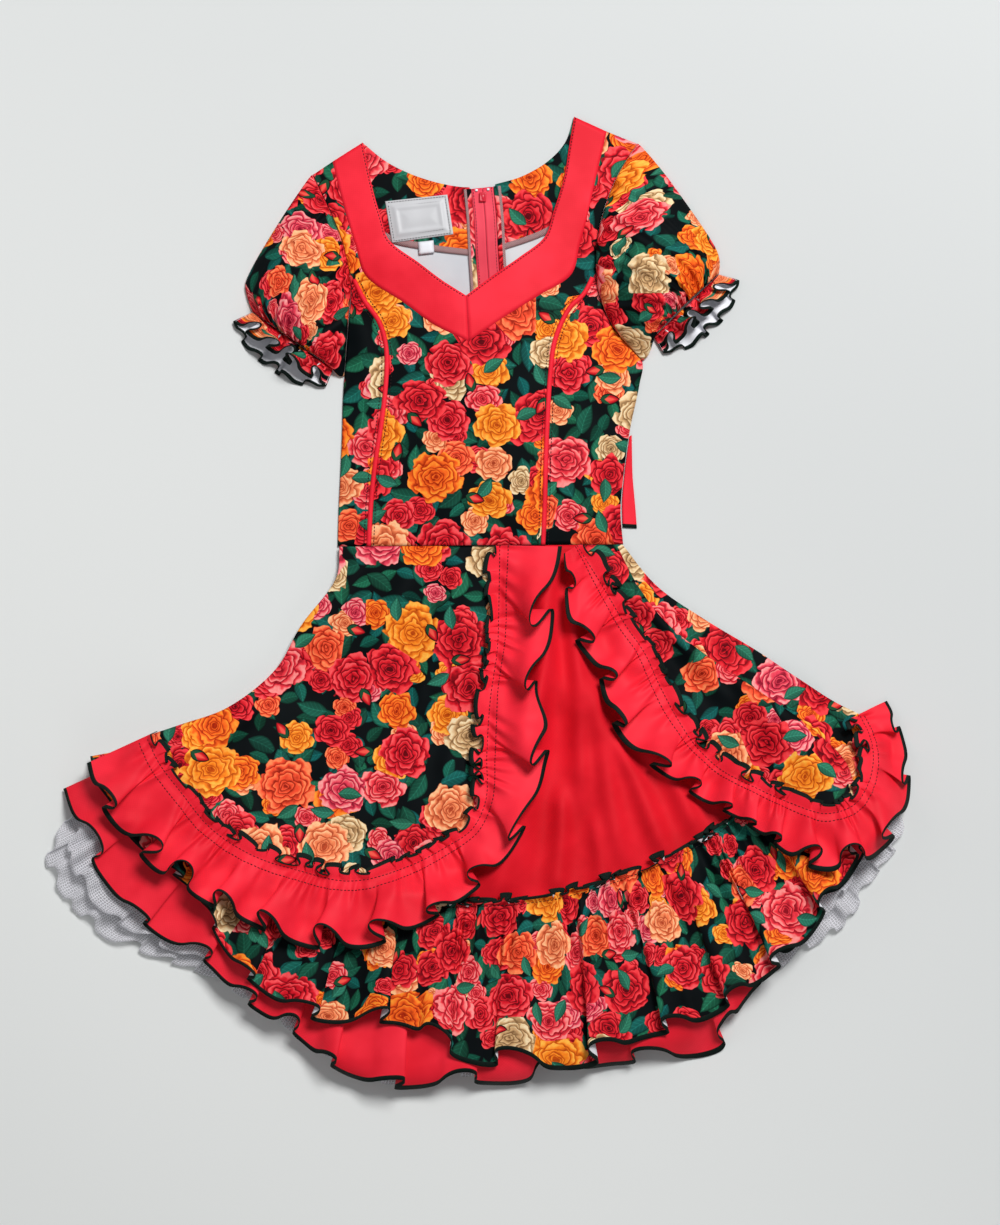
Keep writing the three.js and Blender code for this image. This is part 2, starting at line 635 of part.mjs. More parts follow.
function addCuff(side, foot) {
  // The ruffle of the cuff: small at its gathers and waved at its hem
  const [a, b] = [foot.upper, foot.lower];
  const span = Math.hypot(b[0] - a[0], b[1] - a[1]);
  const along = [(b[0] - a[0]) / span, (b[1] - a[1]) / span];
  const out = side === 'left' ? [along[1], -along[0]] : [-along[1], along[0]];
  const sign = out[1] < 0 ? 1 : -1;
  const sections = [];
  for (let j = 0; j <= 3; j += 1) {
    const t = j / 3;
    const flare = 13 * t;
    const edge = (s) => {
      const run = mix(-flare, span + flare * 0.35, s) + 2.2 * t * Math.sin(2 * Math.PI * CUFF_WAVES * s);
      const push = 0.8 + CUFF_LENGTH * t * (1 - 0.16 * bump(CUFF_WAVES * s)) * (1 - 0.25 * Math.abs(2 * s - 1) ** 3);
      return [0, 1].map((axis) => a[axis] + along[axis] * run + out[axis] * sign * push);
    };
    const wave = (s) => (1.5 + 7.5 * t) * bump(CUFF_WAVES * s);
    const heights = (s) => SLEEVE_EDGE + (13 + 5 * t) * Math.sin(Math.PI * s) ** 0.6 + wave(s);
    sections.push(ring(edge, span + 1.35 * flare, heights, CUFF_WAVES * 4, 4));
  }
  tube(`cuff_ruffle_${side}`, sections, PRINT);
}

// Skirt outlines, left to right
const FLOUNCE_HEAD = [[-361, -158], [-321, -224], [-240, -296], [-125, -342], [13, -346], [93, -337],
  [185, -308], [254, -276], [323, -224], [386, -161]];
const FLOUNCE_HEM = [[-450, -175], [-435, -218], [-388, -282], [-327, -331], [-296, -391], [-263, -431],
  [-194, -475], [-137, -480], [-85, -483], [-33, -518], [47, -535], [139, -528], [185, -500], [231, -489],
  [277, -468], [323, -434], [369, -397], [406, -339], [440, -282], [461, -224]];
const RED_HEM = [[-482, -213], [-439, -310], [-378, -376], [-315, -414], [-275, -454], [-217, -494],
  [-171, -532], [-108, -558], [-22, -554], [59, -555], [139, -535], [214, -530], [286, -514], [306, -460],
  [358, -402], [404, -345], [447, -282], [467, -230]];
const NET_BACK_HEM = [[-459, -218], [-503, -296], [-482, -339], [-436, -385], [-378, -408], [-309, -434],
  [-217, -494], [-120, -553], [1, -544], [139, -523], [254, -494], [358, -414], [427, -368], [459, -316],
  [493, -264], [473, -213]];
const NET_FRONT_HEM = [[-438, -224], [-475, -282], [-450, -339], [-401, -379], [-332, -411], [-275, -448],
  [-194, -500], [-114, -540], [1, -532], [139, -512], [254, -471], [358, -397], [413, -345], [444, -299],
  [476, -259], [457, -207]];
const BACK_HEM = [[-424, -213], [-401, -305], [-309, -391], [-206, -483], [-91, -535], [24, -532],
  [139, -512], [254, -489], [358, -374], [421, -282], [444, -218]];
const OVERLAY_BACK_HEM = [[-332, -150], [-263, -264], [-148, -305], [24, -293], [254, -224], [369, -201], [421, -144]];

function fan(across, down, rails) {
  // Cloth that spreads from its first rail to its last, each rail at its share of the way
  const lines = rails.map(({ line }) => curve(line));
  const places = rails.map(({ at }) => at);
  return grid(across, down, (s, t) => {
    const column = lines.map((line) => line(s));
    const i = Math.min(places.length - 2, Math.max(0, places.findIndex((at, k) => k > 0 && at >= t) - 1));
    const share = (t - places[i]) / (places[i + 1] - places[i]);
    return [0, 1].map((axis) => mix(column[i][axis], column[i + 1][axis], share));
  });
}

function waves(list) {
  // Reads a table of waves by length along the cloth: share of the wave, its height and its lean
  const total = list.reduce((sum, { length }) => sum + length, 0);
  return (s) => {
    let rest = clamp(s) * total;
    let i = 0;
    while (i < list.length - 1 && rest > list[i].length) {
      rest -= list[i].length;
      i += 1;
    }
    return { share: rest / list[i].length, total, ...list[i] };
  };
}

const RED_HEM_WAVES = [
  { length: 90, height: 7, lean: 0.4 },
  { length: 70, height: 9, lean: 0.3 },
  { length: 62, height: 8, lean: -0.4 },
  { length: 55, height: 10, lean: 0.5 },
  { length: 48, height: 11, lean: 0.5 },
  { length: 44, height: 9, lean: -0.3 },
  { length: 66, height: 12, lean: 0.6 },
  { length: 80, height: 8, lean: 0.2 },
  { length: 110, height: 5, lean: 0 },
  { length: 90, height: 6, lean: 0.3 },
  { length: 75, height: 7, lean: -0.3 },
  { length: 70, height: 9, lean: 0.4 },
  { length: 80, height: 9, lean: 0.4 },
  { length: 60, height: 8, lean: -0.4 },
];
const FLOUNCE_WAVES = [
  { length: 70, height: 9, lean: 0.4 },
  { length: 85, height: 12, lean: 0.5 },
  { length: 60, height: 13, lean: -0.4 },
  { length: 55, height: 12, lean: 0.5 },
  { length: 75, height: 9, lean: 0.4 },
  { length: 60, height: 15, lean: -0.5 },
  { length: 85, height: 10, lean: 0.3 },
  { length: 105, height: 8, lean: 0.2 },
  { length: 75, height: 14, lean: -0.5 },
  { length: 60, height: 11, lean: 0.4 },
  { length: 62, height: 12, lean: 0.4 },
  { length: 66, height: 11, lean: -0.4 },
  { length: 60, height: 12, lean: 0.5 },
  { length: 70, height: 9, lean: 0.3 },
];
const HEAD_GATHERS = 24;
const SKIRT_FOLDS = [
  { at: 0.3, foot: 0.22, width: 0.03, height: 9 },
  { at: 0.42, foot: 0.4, width: 0.035, height: 8 },
  { at: 0.52, foot: 0.52, width: 0.03, height: 12 },
  { at: 0.58, foot: 0.62, width: 0.03, height: 11 },
  { at: 0.66, foot: 0.72, width: 0.035, height: 9 },
  { at: 0.8, foot: 0.85, width: 0.035, height: 7 },
];
const OVERLAY_FOLDS = [
  { at: 0.22, foot: 0.14, width: 0.07, height: 5 },
  { at: 0.45, foot: 0.38, width: 0.06, height: 7 },
  { at: 0.7, foot: 0.66, width: 0.07, height: 6 },
];

const folds = (list, fade) => (s, t) => list.reduce((sum, { at, foot, width, height }) => {
  const off = (s - mix(at, foot, t)) / width;
  return sum + height * fade(t) * Math.exp(-off * off);
}, 0);

function waved(surface, read, growth) {
  // Leans each wave along the rows of the surface, so that its crest stands over one side
  const { points, shares, across } = surface;
  const moved = points.map((point, i) => {
    const [s, t] = shares[i];
    const { share, length, lean } = read(s);
    const next = points[i + (i % (across + 1) < across ? 1 : -1)];
    const size = Math.hypot(next[0] - point[0], next[1] - point[1]) * (i % (across + 1) < across ? 1 : -1);
    const shift = lean * growth(t) * (length / 8) * Math.sin(2 * Math.PI * share);
    return point.map((v, axis) => v + (next[axis] - v) / size * shift);
  });
  return { ...surface, points: moved };
}

function addSkirt(pile) {
  const top = [-161, -80, 0, 80, 164].map(underWaist);
  const hip = [[-208, -38], [10, -80], [272, -34]];
  const low = [[-290, -127], [10, -215], [366, -102]];
  lay(pile, 'overlay_back', fan(12, 7, [
    { at: 0, line: top },
    { at: 0.35, line: [[-204, -38], [10, -50], [266, -32]] },
    { at: 1, line: OVERLAY_BACK_HEM },
  ]), { material: PRINT });
  lay(pile, 'skirt_back', fan(14, 8, [
    { at: 0, line: top },
    { at: 0.25, line: hip },
    { at: 0.5, line: low },
    { at: 1, line: BACK_HEM },
  ]), { material: CORAL, soft: 16 });
  const netWave = (count, height) => (s, t) => height * t ** 2.5 * bump(count * s + 0.3 * Math.sin(9 * s));
  lay(pile, 'petticoat_back', fan(42, 2, [
    { at: 0, line: low },
    { at: 0.6, line: [[-400, -200], [-300, -330], [0, -440], [320, -330], [420, -205]] },
    { at: 1, line: NET_BACK_HEM },
  ]), { wall: NET, relief: netWave(14, 9), material: WHITE });
  lay(pile, 'petticoat_front', fan(39, 2, [
    { at: 0, line: low },
    { at: 0.6, line: [[-390, -200], [-290, -320], [0, -430], [310, -320], [410, -200]] },
    { at: 1, line: NET_FRONT_HEM },
  ]), { wall: NET, relief: netWave(13, 9), material: WHITE });
  const hemWaves = waves(RED_HEM_WAVES);
  const lower = fan(84, 2, [{ at: 0, line: FLOUNCE_HEAD }, { at: 1, line: RED_HEM }]);
  const front = fan(26, 9, [
    { at: 0, line: top },
    { at: 0.3, line: hip },
    { at: 0.62, line: [[-295, -132], [13, -225], [366, -108]] },
    { at: 1, line: FLOUNCE_HEAD },
  ]);
  layer(pile, [
    {
      name: 'skirt_hem_tier',
      surface: drawBack(waved(lower, hemWaves, (t) => t), ['top']),
      relief: (s, t) => hemWaves(s).height * t * bump(hemWaves(s).share),
    },
    {
      name: 'skirt_front',
      surface: drawBack(front, ['bottom']),
      relief: folds(SKIRT_FOLDS, (t) => 0.25 + 0.75 * Math.sin(Math.PI * (0.1 + 0.75 * t))),
    },
  ], { material: CORAL });
  addFlounce(pile);
}

function addFlounce(pile) {
  // The printed flounce: a gathered heading, then broad folds to the hem
  const read = waves(FLOUNCE_WAVES);
  const head = curve(FLOUNCE_HEAD);
  const hem = curve(FLOUNCE_HEM);
  const rows = [{ at: -1, rise: 3 }, { at: 0, rise: 1 }, { at: 0.5, rise: 0.6 }, { at: 1, rise: 1 }];
  const surface = grid(98, rows.length - 1, (s, t) => {
    const row = rows[Math.round(t * (rows.length - 1))];
    const [a, b] = [head(s), hem(s)];
    const length = Math.hypot(b[0] - a[0], b[1] - a[1]);
    const share = row.at < 0 ? -FLOUNCE_HEADING / length : row.at;
    return [0, 1].map((axis) => mix(a[axis], b[axis], share));
  });
  const down = (t) => rows[Math.round(t * (rows.length - 1))];
  lay(pile, 'flounce_front', waved(surface, read, (t) => Math.max(0, down(t).at)), {
    relief: (s, t) => {
      const row = down(t);
      if (row.at <= 0) return row.rise * bump(HEAD_GATHERS * s);
      return read(s).height * row.rise * bump(read(s).share);
    },
    material: PRINT,
  });
}

// Overlay edges with their ruffle: along the front opening, round the corner and along the bottom
const RUFFLE_LEFT = [
  { x: 24, y: 69, width: 72 },
  { x: 23, y: 6, width: 66 },
  { x: 21, y: -52, width: 62 },
  { x: 13, y: -109, width: 52 },
  { x: 9, y: -172, width: 74 },
  { x: 8, y: -224, width: 66 },
  { x: -8, y: -258, width: 52 },
  { x: -40, y: -280, width: 60 },
  { x: -82, y: -301, width: 68 },
  { x: -148, y: -316, width: 78 },
  { x: -206, y: -304, width: 82 },
  { x: -259, y: -286, width: 74 },
  { x: -304, y: -257, width: 74 },
  { x: -340, y: -215, width: 82 },
  { x: -366, y: -181, width: 84 },
  { x: -381, y: -150, width: 76 },
];
const LEFT_CORNER = 6;
const RUFFLE_RIGHT = [
  { x: 113, y: 69, width: 18 },
  { x: 140, y: 26, width: 42 },
  { x: 169, y: -23, width: 60 },
  { x: 192, y: -57, width: 58 },
  { x: 208, y: -92, width: 63 },
  { x: 231, y: -135, width: 70 },
  { x: 251, y: -164, width: 66 },
  { x: 279, y: -190, width: 50 },
  { x: 312, y: -207, width: 42 },
  { x: 355, y: -226, width: 42 },
  { x: 396, y: -238, width: 50 },
  { x: 428, y: -228, width: 64 },
  { x: 445, y: -204, width: 66 },
  { x: 452, y: -178, width: 56 },
  { x: 450, y: -150, width: 42 },
  { x: 440, y: -126, width: 36 },
];
const RIGHT_CORNER = 8;
const LEFT_WAVES = [
  { length: 84, height: 20, lean: 0.8 },
  { length: 72, height: 22, lean: -0.7 },
  { length: 80, height: 21, lean: 0.8 },
  { length: 66, height: 20, lean: -0.7 },
  { length: 46, height: 20, lean: 0.8 },
  { length: 44, height: 19, lean: 0.7 },
  { length: 50, height: 22, lean: -0.8 },
  { length: 46, height: 20, lean: 0.8 },
  { length: 52, height: 21, lean: -0.8 },
  { length: 48, height: 20, lean: 0.8 },
  { length: 50, height: 22, lean: 0.8 },
  { length: 56, height: 20, lean: -0.7 },
  { length: 50, height: 16, lean: 0.7 },
];
const RIGHT_WAVES = [
  { length: 50, height: 14, lean: -0.8 },
  { length: 62, height: 20, lean: -0.8 },
  { length: 56, height: 22, lean: 0.8 },
  { length: 60, height: 21, lean: -0.7 },
  { length: 56, height: 22, lean: 0.8 },
  { length: 42, height: 18, lean: -0.8 },
  { length: 34, height: 16, lean: 0.8 },
  { length: 32, height: 18, lean: -0.8 },
  { length: 36, height: 17, lean: 0.8 },
  { length: 34, height: 18, lean: -0.8 },
  { length: 40, height: 18, lean: 0.8 },
  { length: 44, height: 17, lean: -0.7 },
  { length: 40, height: 16, lean: 0.7 },
  { length: 36, height: 14, lean: -0.6 },
];
const RUFFLE_ROWS = [
  { at: -1, rise: 0.4 },
  { at: 0, rise: 0.12 },
  { at: 0.5, rise: 0.6 },
  { at: 1, rise: 1 },
];

function addRuffle(pile, name, edge, list, side, columns) {
  const line = curve(edge.map(({ x, y }) => [x, y]));
  const widths = curve(edge.map(({ width }, i) => [i * 60, width]));
  const read = waves(list);
  const outward = (s) => {
    const [x0, y0] = line(s - 0.03);
    const [x1, y1] = line(s + 0.03);
    const size = Math.hypot(x1 - x0, y1 - y0) * side;
    return [-(y1 - y0) / size, (x1 - x0) / size];
  };
  const down = (t) => RUFFLE_ROWS[Math.round(t * (RUFFLE_ROWS.length - 1))];
  const surface = grid(columns, RUFFLE_ROWS.length - 1, (s, t) => {
    const row = down(t);
    const [x, y] = line(s);
    const [nx, ny] = outward(s);
    const draw = 1 - 0.14 * row.rise * bump(read(s).share);
    const off = row.at < 0 ? -HEADING : row.at * widths(s)[1] * draw;
    return [x + nx * off, Math.min(waist(x + nx * off) - 2 * TRIM_BACK, y + ny * off)];
  });
  lay(pile, name, waved(surface, read, (t) => Math.max(0, down(t).at)), {
    relief: (s, t) => read(s).height * down(t).rise * bump(read(s).share),
    soft: 8,
    material: CORAL,
  });
}

function addOverlays(pile) {
  // Printed overlays, open at the front, each edged by its own ruffle
  const plan = (list, from, to) => list.slice(from, to).map(({ x, y }) => [x, y]);
  const fade = (t) => Math.sin(Math.PI * clamp(0.12 + 0.8 * t));
  const left = panel(12, 10, {
    top: straight(underWaist(-162), underWaist(24)),
    right: curve([underWaist(24), ...plan(RUFFLE_LEFT, 1, LEFT_CORNER + 1)]),
    bottom: curve(plan(RUFFLE_LEFT, LEFT_CORNER).reverse()),
    left: curve([underWaist(-162), [-165, 32], [-206, -24], [-235, -74], [-290, -118], [-345, -138], [-381, -150]]),
  });
  const seam = [underWaist(159), [184, 22], [216, -20], [268, -62], [330, -104], [383, -142], [424, -186], [428, -228]];
  const bottomEdge = plan(RUFFLE_RIGHT, RIGHT_CORNER - 1, 12);
  const right = drawBack(panel(10, 12, {
    top: straight(underWaist(113), seam[0]),
    left: curve([underWaist(113), ...plan(RUFFLE_RIGHT, 1, RIGHT_CORNER)]),
    bottom: curve(bottomEdge),
    right: curve(seam),
  }), ['right']);
  const sideways = drawBack(panel(5, 12, {
    top: straight(seam[0], underWaist(166)),
    left: curve(seam),
    bottom: curve(plan(RUFFLE_RIGHT, 11)),
    right: curve([underWaist(166), [206, 22], [262, -17], [322, -53], [368, -84], [412, -112], [440, -126]]),
  }), ['left']);
  lay(pile, 'overlay_left', left, { relief: folds(OVERLAY_FOLDS, fade), material: PRINT });
  layer(pile, [
    { name: 'overlay_right', surface: right, relief: folds(OVERLAY_FOLDS, fade) },
    { name: 'overlay_side_right', surface: sideways },
  ], { material: PRINT });
  addRuffle(pile, 'ruffle_left', RUFFLE_LEFT, LEFT_WAVES, 1, 104);
  addRuffle(pile, 'ruffle_right', RUFFLE_RIGHT, RIGHT_WAVES, -1, 98);
}

function addSash(pile) {
  // The end of a sash that is sewn into the side seam and shows beside it
  const surface = panel(2, 4, {
    top: straight([174.5, 196], [177, 197]),
    left: curve([[174.5, 196], [169, 155], [165.8, 118], [166.6, 90]]),
    right: curve([[177, 197], [178, 150], [181, 115], [183, 89]]),
    bottom: straight([166.6, 90], [183, 89]),
  });
  lay(pile, 'sash_end', surface, { material: CORAL });
}

const bodicePile = new Pile();
addBodiceBack(bodicePile);
addNeckFittings(bodicePile);
addBodiceFront(bodicePile);
addSash(new Pile());
addSleeve('left', SLEEVE_LEFT, ARMHOLE_LEFT);
addSleeve('right', SLEEVE_RIGHT, ARMHOLE_RIGHT);
const skirtPile = new Pile();
addSkirt(skirtPile);
addOverlays(skirtPile);

dress.position.set(...MIDDLE, 0);

export default dress;
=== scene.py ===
# A girls' dress, laid flat on its back: the cloth, trims and finishes of every piece.
# The tables are in millimetres, +Y to the neck and +Z up; the meshes are made in metres.
import math
import bpy
import numpy as np
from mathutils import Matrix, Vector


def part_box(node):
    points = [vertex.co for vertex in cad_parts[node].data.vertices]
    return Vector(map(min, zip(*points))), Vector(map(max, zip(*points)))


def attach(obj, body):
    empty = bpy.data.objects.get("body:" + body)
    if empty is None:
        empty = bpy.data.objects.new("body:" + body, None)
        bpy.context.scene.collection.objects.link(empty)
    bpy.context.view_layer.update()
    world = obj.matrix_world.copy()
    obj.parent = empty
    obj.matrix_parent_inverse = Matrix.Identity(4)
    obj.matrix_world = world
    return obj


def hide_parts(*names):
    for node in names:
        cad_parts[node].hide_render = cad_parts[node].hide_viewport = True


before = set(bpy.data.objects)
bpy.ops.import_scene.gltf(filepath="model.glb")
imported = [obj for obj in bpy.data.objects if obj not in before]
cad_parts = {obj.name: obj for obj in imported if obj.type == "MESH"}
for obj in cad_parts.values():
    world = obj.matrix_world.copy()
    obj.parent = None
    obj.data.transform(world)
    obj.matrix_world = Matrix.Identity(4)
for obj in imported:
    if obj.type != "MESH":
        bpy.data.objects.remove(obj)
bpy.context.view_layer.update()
bpy.ops.object.select_all(action="DESELECT")

# Camera and light
PIXEL = 1.15                      # millimetres in one pixel of the picture
PICTURE_ROWS = 1225
VIEW_CENTRE = (0.02565, -0.0119)
CAMERA_HEIGHT = 3.23
PILE_LEVEL = 0.03                 # height at which a pixel has that size
FRAME_HEIGHT = PICTURE_ROWS * PIXEL / 1000
SENSOR = 24.0
FARTHEST = 20
LAMPS = [
    {"name": "soft_top", "at": (1.35, 2.35, 4.0), "size": 1.4, "power": 232},
    {"name": "soft_side", "at": (-1.9, 0.2, 1.7), "size": 1.8, "power": 6},
    {"name": "low_front", "at": (0.6, -2.0, 1.2), "size": 1.0, "power": 4},
]
LAMP_AIM = (0, 0, 0.02)
ROOM_COLOR = (0.93, 0.96, 1.0, 1)
ROOM_STRENGTH = 0.16


def set_camera():
    bpy.ops.object.camera_add(location=(*VIEW_CENTRE, CAMERA_HEIGHT), rotation=(0, 0, 0))
    camera = bpy.context.object
    camera.data.sensor_fit = "VERTICAL"
    camera.data.sensor_height = SENSOR
    camera.data.lens = SENSOR * (CAMERA_HEIGHT - PILE_LEVEL) / FRAME_HEIGHT
    camera.data.clip_end = FARTHEST
    bpy.context.scene.camera = camera


def set_lights():
    for lamp in LAMPS:
        bpy.ops.object.light_add(type="AREA", location=lamp["at"])
        light = bpy.context.object
        light.name = lamp["name"]
        light.data.energy = lamp["power"]
        light.data.size = lamp["size"]
        aim = np.array(LAMP_AIM) - np.array(lamp["at"])
        flat_run = math.hypot(aim[0], aim[1])
        light.rotation_euler = (math.atan2(flat_run, -aim[2]), 0, math.atan2(aim[0], -aim[1]) + math.pi)
    world = bpy.data.worlds.new("studio")
    world.use_nodes = True
    background = world.node_tree.nodes["Background"]
    background.inputs["Color"].default_value = ROOM_COLOR
    background.inputs["Strength"].default_value = ROOM_STRENGTH
    bpy.context.scene.world = world
    bpy.context.scene.view_settings.view_transform = "Standard"


set_camera()
set_lights()

# Small sums and plan curves
MM = 0.001
MIDDLE = np.array([1.5, -3.25, 0.0])   # moves the outlines so that the origin is under their middle
GAP = 0.3                              # clear space between two layers
WALL = 0.9                             # cloth thickness that shows at the edges
EDGE = 5.0                             # width of the overlocked edge


def mix(a, b, t):
    return a + (b - a) * t


def smooth(t):
    t = np.clip(t, 0.0, 1.0)
    return t * t * (3 - 2 * t)


def bump(t):
    return 0.5 - 0.5 * np.cos(2 * np.pi * t)


class Line:
    """A plan line, read by the share of its length."""

    def __init__(self, dense):
        self.dense = np.asarray(dense, float)
        steps = np.hypot(*np.diff(self.dense, axis=0).T)
        self.run = np.concatenate([[0], np.cumsum(steps)])
        self.length = self.run[-1]
        self.run /= self.length

    def __call__(self, t):
        t = np.clip(t, 0, 1)
        return np.stack([np.interp(t, self.run, self.dense[:, k]) for k in (0, 1)], axis=-1)


class Corners:
    """A line through corners that are evenly spaced along its share."""

    def __init__(self, *corners):
        self.corners = np.array(corners, float)
        self.places = np.linspace(0, 1, len(corners))

    def __call__(self, t):
        t = np.clip(t, 0, 1)
        return np.stack([np.interp(t, self.places, self.corners[:, k]) for k in (0, 1)], axis=-1)


def curve(points):
    """A smooth line through plan points."""
    p = np.array(points, float)
    if len(p) == 2:
        return Line(p)
    ends = np.vstack([2 * p[0] - p[1], p, 2 * p[-1] - p[-2]])
    u = np.linspace(0, 1, 24, endpoint=False)[:, None]
    rows = []
    for a, b, c, d in zip(ends, ends[1:], ends[2:], ends[3:]):
        t1, t2, t3 = [max(1e-4, math.sqrt(math.dist(q, r))) for q, r in ((a, b), (b, c), (c, d))]
        start = ((b - a) / t1 - (c - a) / (t1 + t2) + (c - b) / t2) * t2
        stop = ((c - b) / t2 - (d - b) / (t2 + t3) + (d - c) / t3) * t2
        square = 3 * (c - b) - 2 * start - stop
        cube = 2 * (b - c) + start + stop
        rows.append(b + start * u + square * u**2 + cube * u**3)
    return Line(np.vstack(rows + [p[-1:]]))


def panel(columns, rows, top, right, bottom, left):
    """Cloth between its four edges."""
    s = np.linspace(0, 1, columns + 1)
    t = np.linspace(0, 1, rows + 1)
    s2, t2 = s[None, :, None], t[:, None, None]
    across = mix(top(s)[None], bottom(s)[None], t2)
    down = mix(left(t)[:, None], right(t)[:, None], s2)
    flat = mix(mix(top(0.0), top(1.0), s2), mix(bottom(0.0), bottom(1.0), s2), t2)
    return across + down - flat


def fan(columns, rows, rails):
    """Cloth that spreads from its first rail to its last, each rail at its share of the way."""
    s = np.linspace(0, 1, columns + 1)
    places = np.array([at for at, _ in rails])
    lines = np.array([line(s) for _, line in rails])
    out = []
    for t in np.linspace(0, 1, rows + 1):
        i = min(len(places) - 2, max(0, int(np.searchsorted(places, t, side="right")) - 1))
        share = (t - places[i]) / (places[i + 1] - places[i])
        out.append(mix(lines[i], lines[i + 1], share))
    return np.array(out)


# The pile: how high the cloth already laid down reaches
class Pile:
    CELL = 3.0
    CLOSE = 0.6                        # farthest distance of two spots, in cells
    LOW = np.array([-560.0, -620.0])
    SIZE = (414, 374)                  # rows and columns of cells

    def __init__(self):
        self.height = np.zeros(self.SIZE)

    def spots(self, plan, z):
        """Cells and heights all over a grid of points, closer together than the cells."""
        full = np.dstack([plan, z])
        for axis in (0, 1):
            step = np.abs(np.diff(full[..., :2], axis=axis)).max()
            parts = max(1, math.ceil(step / (self.CELL * self.CLOSE)))
            n = full.shape[axis] - 1
            place = np.linspace(0, n, n * parts + 1)
            low = np.minimum(place.astype(int), n - 1)
            share = place - low
            share = share[:, None, None] if axis == 0 else share[None, :, None]
            full = mix(full.take(low, axis), full.take(low + 1, axis), share)
        cell = np.rint((full[..., :2] - self.LOW) / self.CELL).astype(int)
        return cell[..., 1].ravel(), cell[..., 0].ravel(), full[..., 2].ravel()

    def add(self, plan, tops):
        rows, columns, z = self.spots(plan, tops)
        np.maximum.at(self.height, (rows, columns), z)

    def clearance(self, plan, bottoms):
        rows, columns, z = self.spots(plan, bottoms)
        return float((z - self.height[rows, columns]).min())

    def over(self, reach, soft):
        """The height that clears the pile: the most within reach, then smoothed."""
        blur = math.ceil(soft / self.CELL)
        wide = math.ceil(reach / self.CELL) + blur
        high = self.height
        for axis in (0, 1):
            high = np.max([np.roll(high, k, axis) for k in range(-wide, wide + 1)], axis=0)
        for axis in (0, 1):
            high = np.mean([np.roll(high, k, axis) for k in range(-blur, blur + 1)], axis=0)

        def read(plan):
            u = (plan - self.LOW) / self.CELL
            low = np.floor(u).astype(int)
            f = u - low
            x, y = low[..., 0], low[..., 1]
            near = mix(high[y, x], high[y, x + 1], f[..., 0])
            far = mix(high[y + 1, x], high[y + 1, x + 1], f[..., 0])
            return mix(near, far, f[..., 1])

        return read


def lay(pile, parts, reach=4.0, soft=9.0):
    """Lays the parts of one layer on the pile and lets them down until they touch it.

    Each part is (plan, relief). The same list comes back with heights.
    """
    over = pile.over(reach, soft)
    bottoms = [over(plan) + GAP + relief for plan, relief in parts]
    drop = min(pile.clearance(plan, z) for (plan, _), z in zip(parts, bottoms)) - GAP
    for (plan, _), z in zip(parts, bottoms):
        pile.add(plan, z - drop + WALL)
    return [np.dstack([plan, z - drop + WALL]) for (plan, _), z in zip(parts, bottoms)]


# Creases: soft ridges along given lines, and a low wander all over
CREASE_BOW = 0.10                      # how far a crease swings off its line, in widths
CREASE_FADE = 0.32                     # share of its length in which it rises from nothing
CREASE_SPREAD = 1.35                   # how much wider it is at its far end


def creases(plan, table):
    z = np.zeros(plan.shape[:2])
    for x0, y0, x1, y1, width, height in table:
        a, b = np.array([x0, y0], float), np.array([x1, y1], float)
        along = (b - a) / math.dist(a, b)
        rel = plan - a
        run = (rel @ along) / math.dist(a, b)
        bow = CREASE_BOW * width * np.sin(2.3 * np.pi * run + x0)
        off = rel @ np.array([-along[1], along[0]]) + bow
        end = smooth((run + 0.12) / CREASE_FADE) * smooth((1.12 - run) / CREASE_FADE)
        z += height * end * np.exp(-((off / (width * mix(1.0, CREASE_SPREAD, np.clip(run, 0, 1)))) ** 2))
    return z


SWELLS = 7


def wander(plan, height, size, seed):
    """A low uneven swell, at least nought."""
    rng = np.random.default_rng(seed)
    z = np.zeros(plan.shape[:2])
    for _ in range(SWELLS):
        angle, phase, scale = rng.uniform(0, 2 * np.pi), rng.uniform(0, 2 * np.pi), rng.uniform(0.7, 1.6)
        along = plan @ np.array([math.cos(angle), math.sin(angle)])
        z += np.sin(2 * np.pi / (size * scale) * along + phase)
    return height * (z / SWELLS + 1) * 0.5


# Frills: gathered cloth that swings from side to side towards its hem
def swing(omega, narrow, parts=400):
    """One wave of the hem by its share of the cloth: run, height, and how much cloth one unit of run takes.

    omega is the steepest slope of the wave, in radians. A narrow wave has a wide trough and a slim crest.
    """
    f = np.linspace(0, 1, parts + 1)
    turn = omega * np.sin(2 * np.pi * f)
    run = np.concatenate([[0], np.cumsum((np.cos(turn[1:]) + np.cos(turn[:-1])) / 2)]) / parts
    rise = np.concatenate([[0], np.cumsum((np.sin(turn[1:]) + np.sin(turn[:-1])) / 2)]) / parts
    run = run / run[-1] + narrow / (2 * np.pi) * np.sin(2 * np.pi * f)
    return f, run, rise / rise.max(), 1 / max(0.3, math.cos(omega * 0.75))


FRILL_GROW = 0.75                      # how soon the waves rise below the gathers
WAVE_STEEPNESS = 0.9                   # crowds the rows towards the gathers
HEADING_ROWS = (-0.5, -0.2)
STAY_GATHERED = 0.65                   # share of the width in which the puckers fade


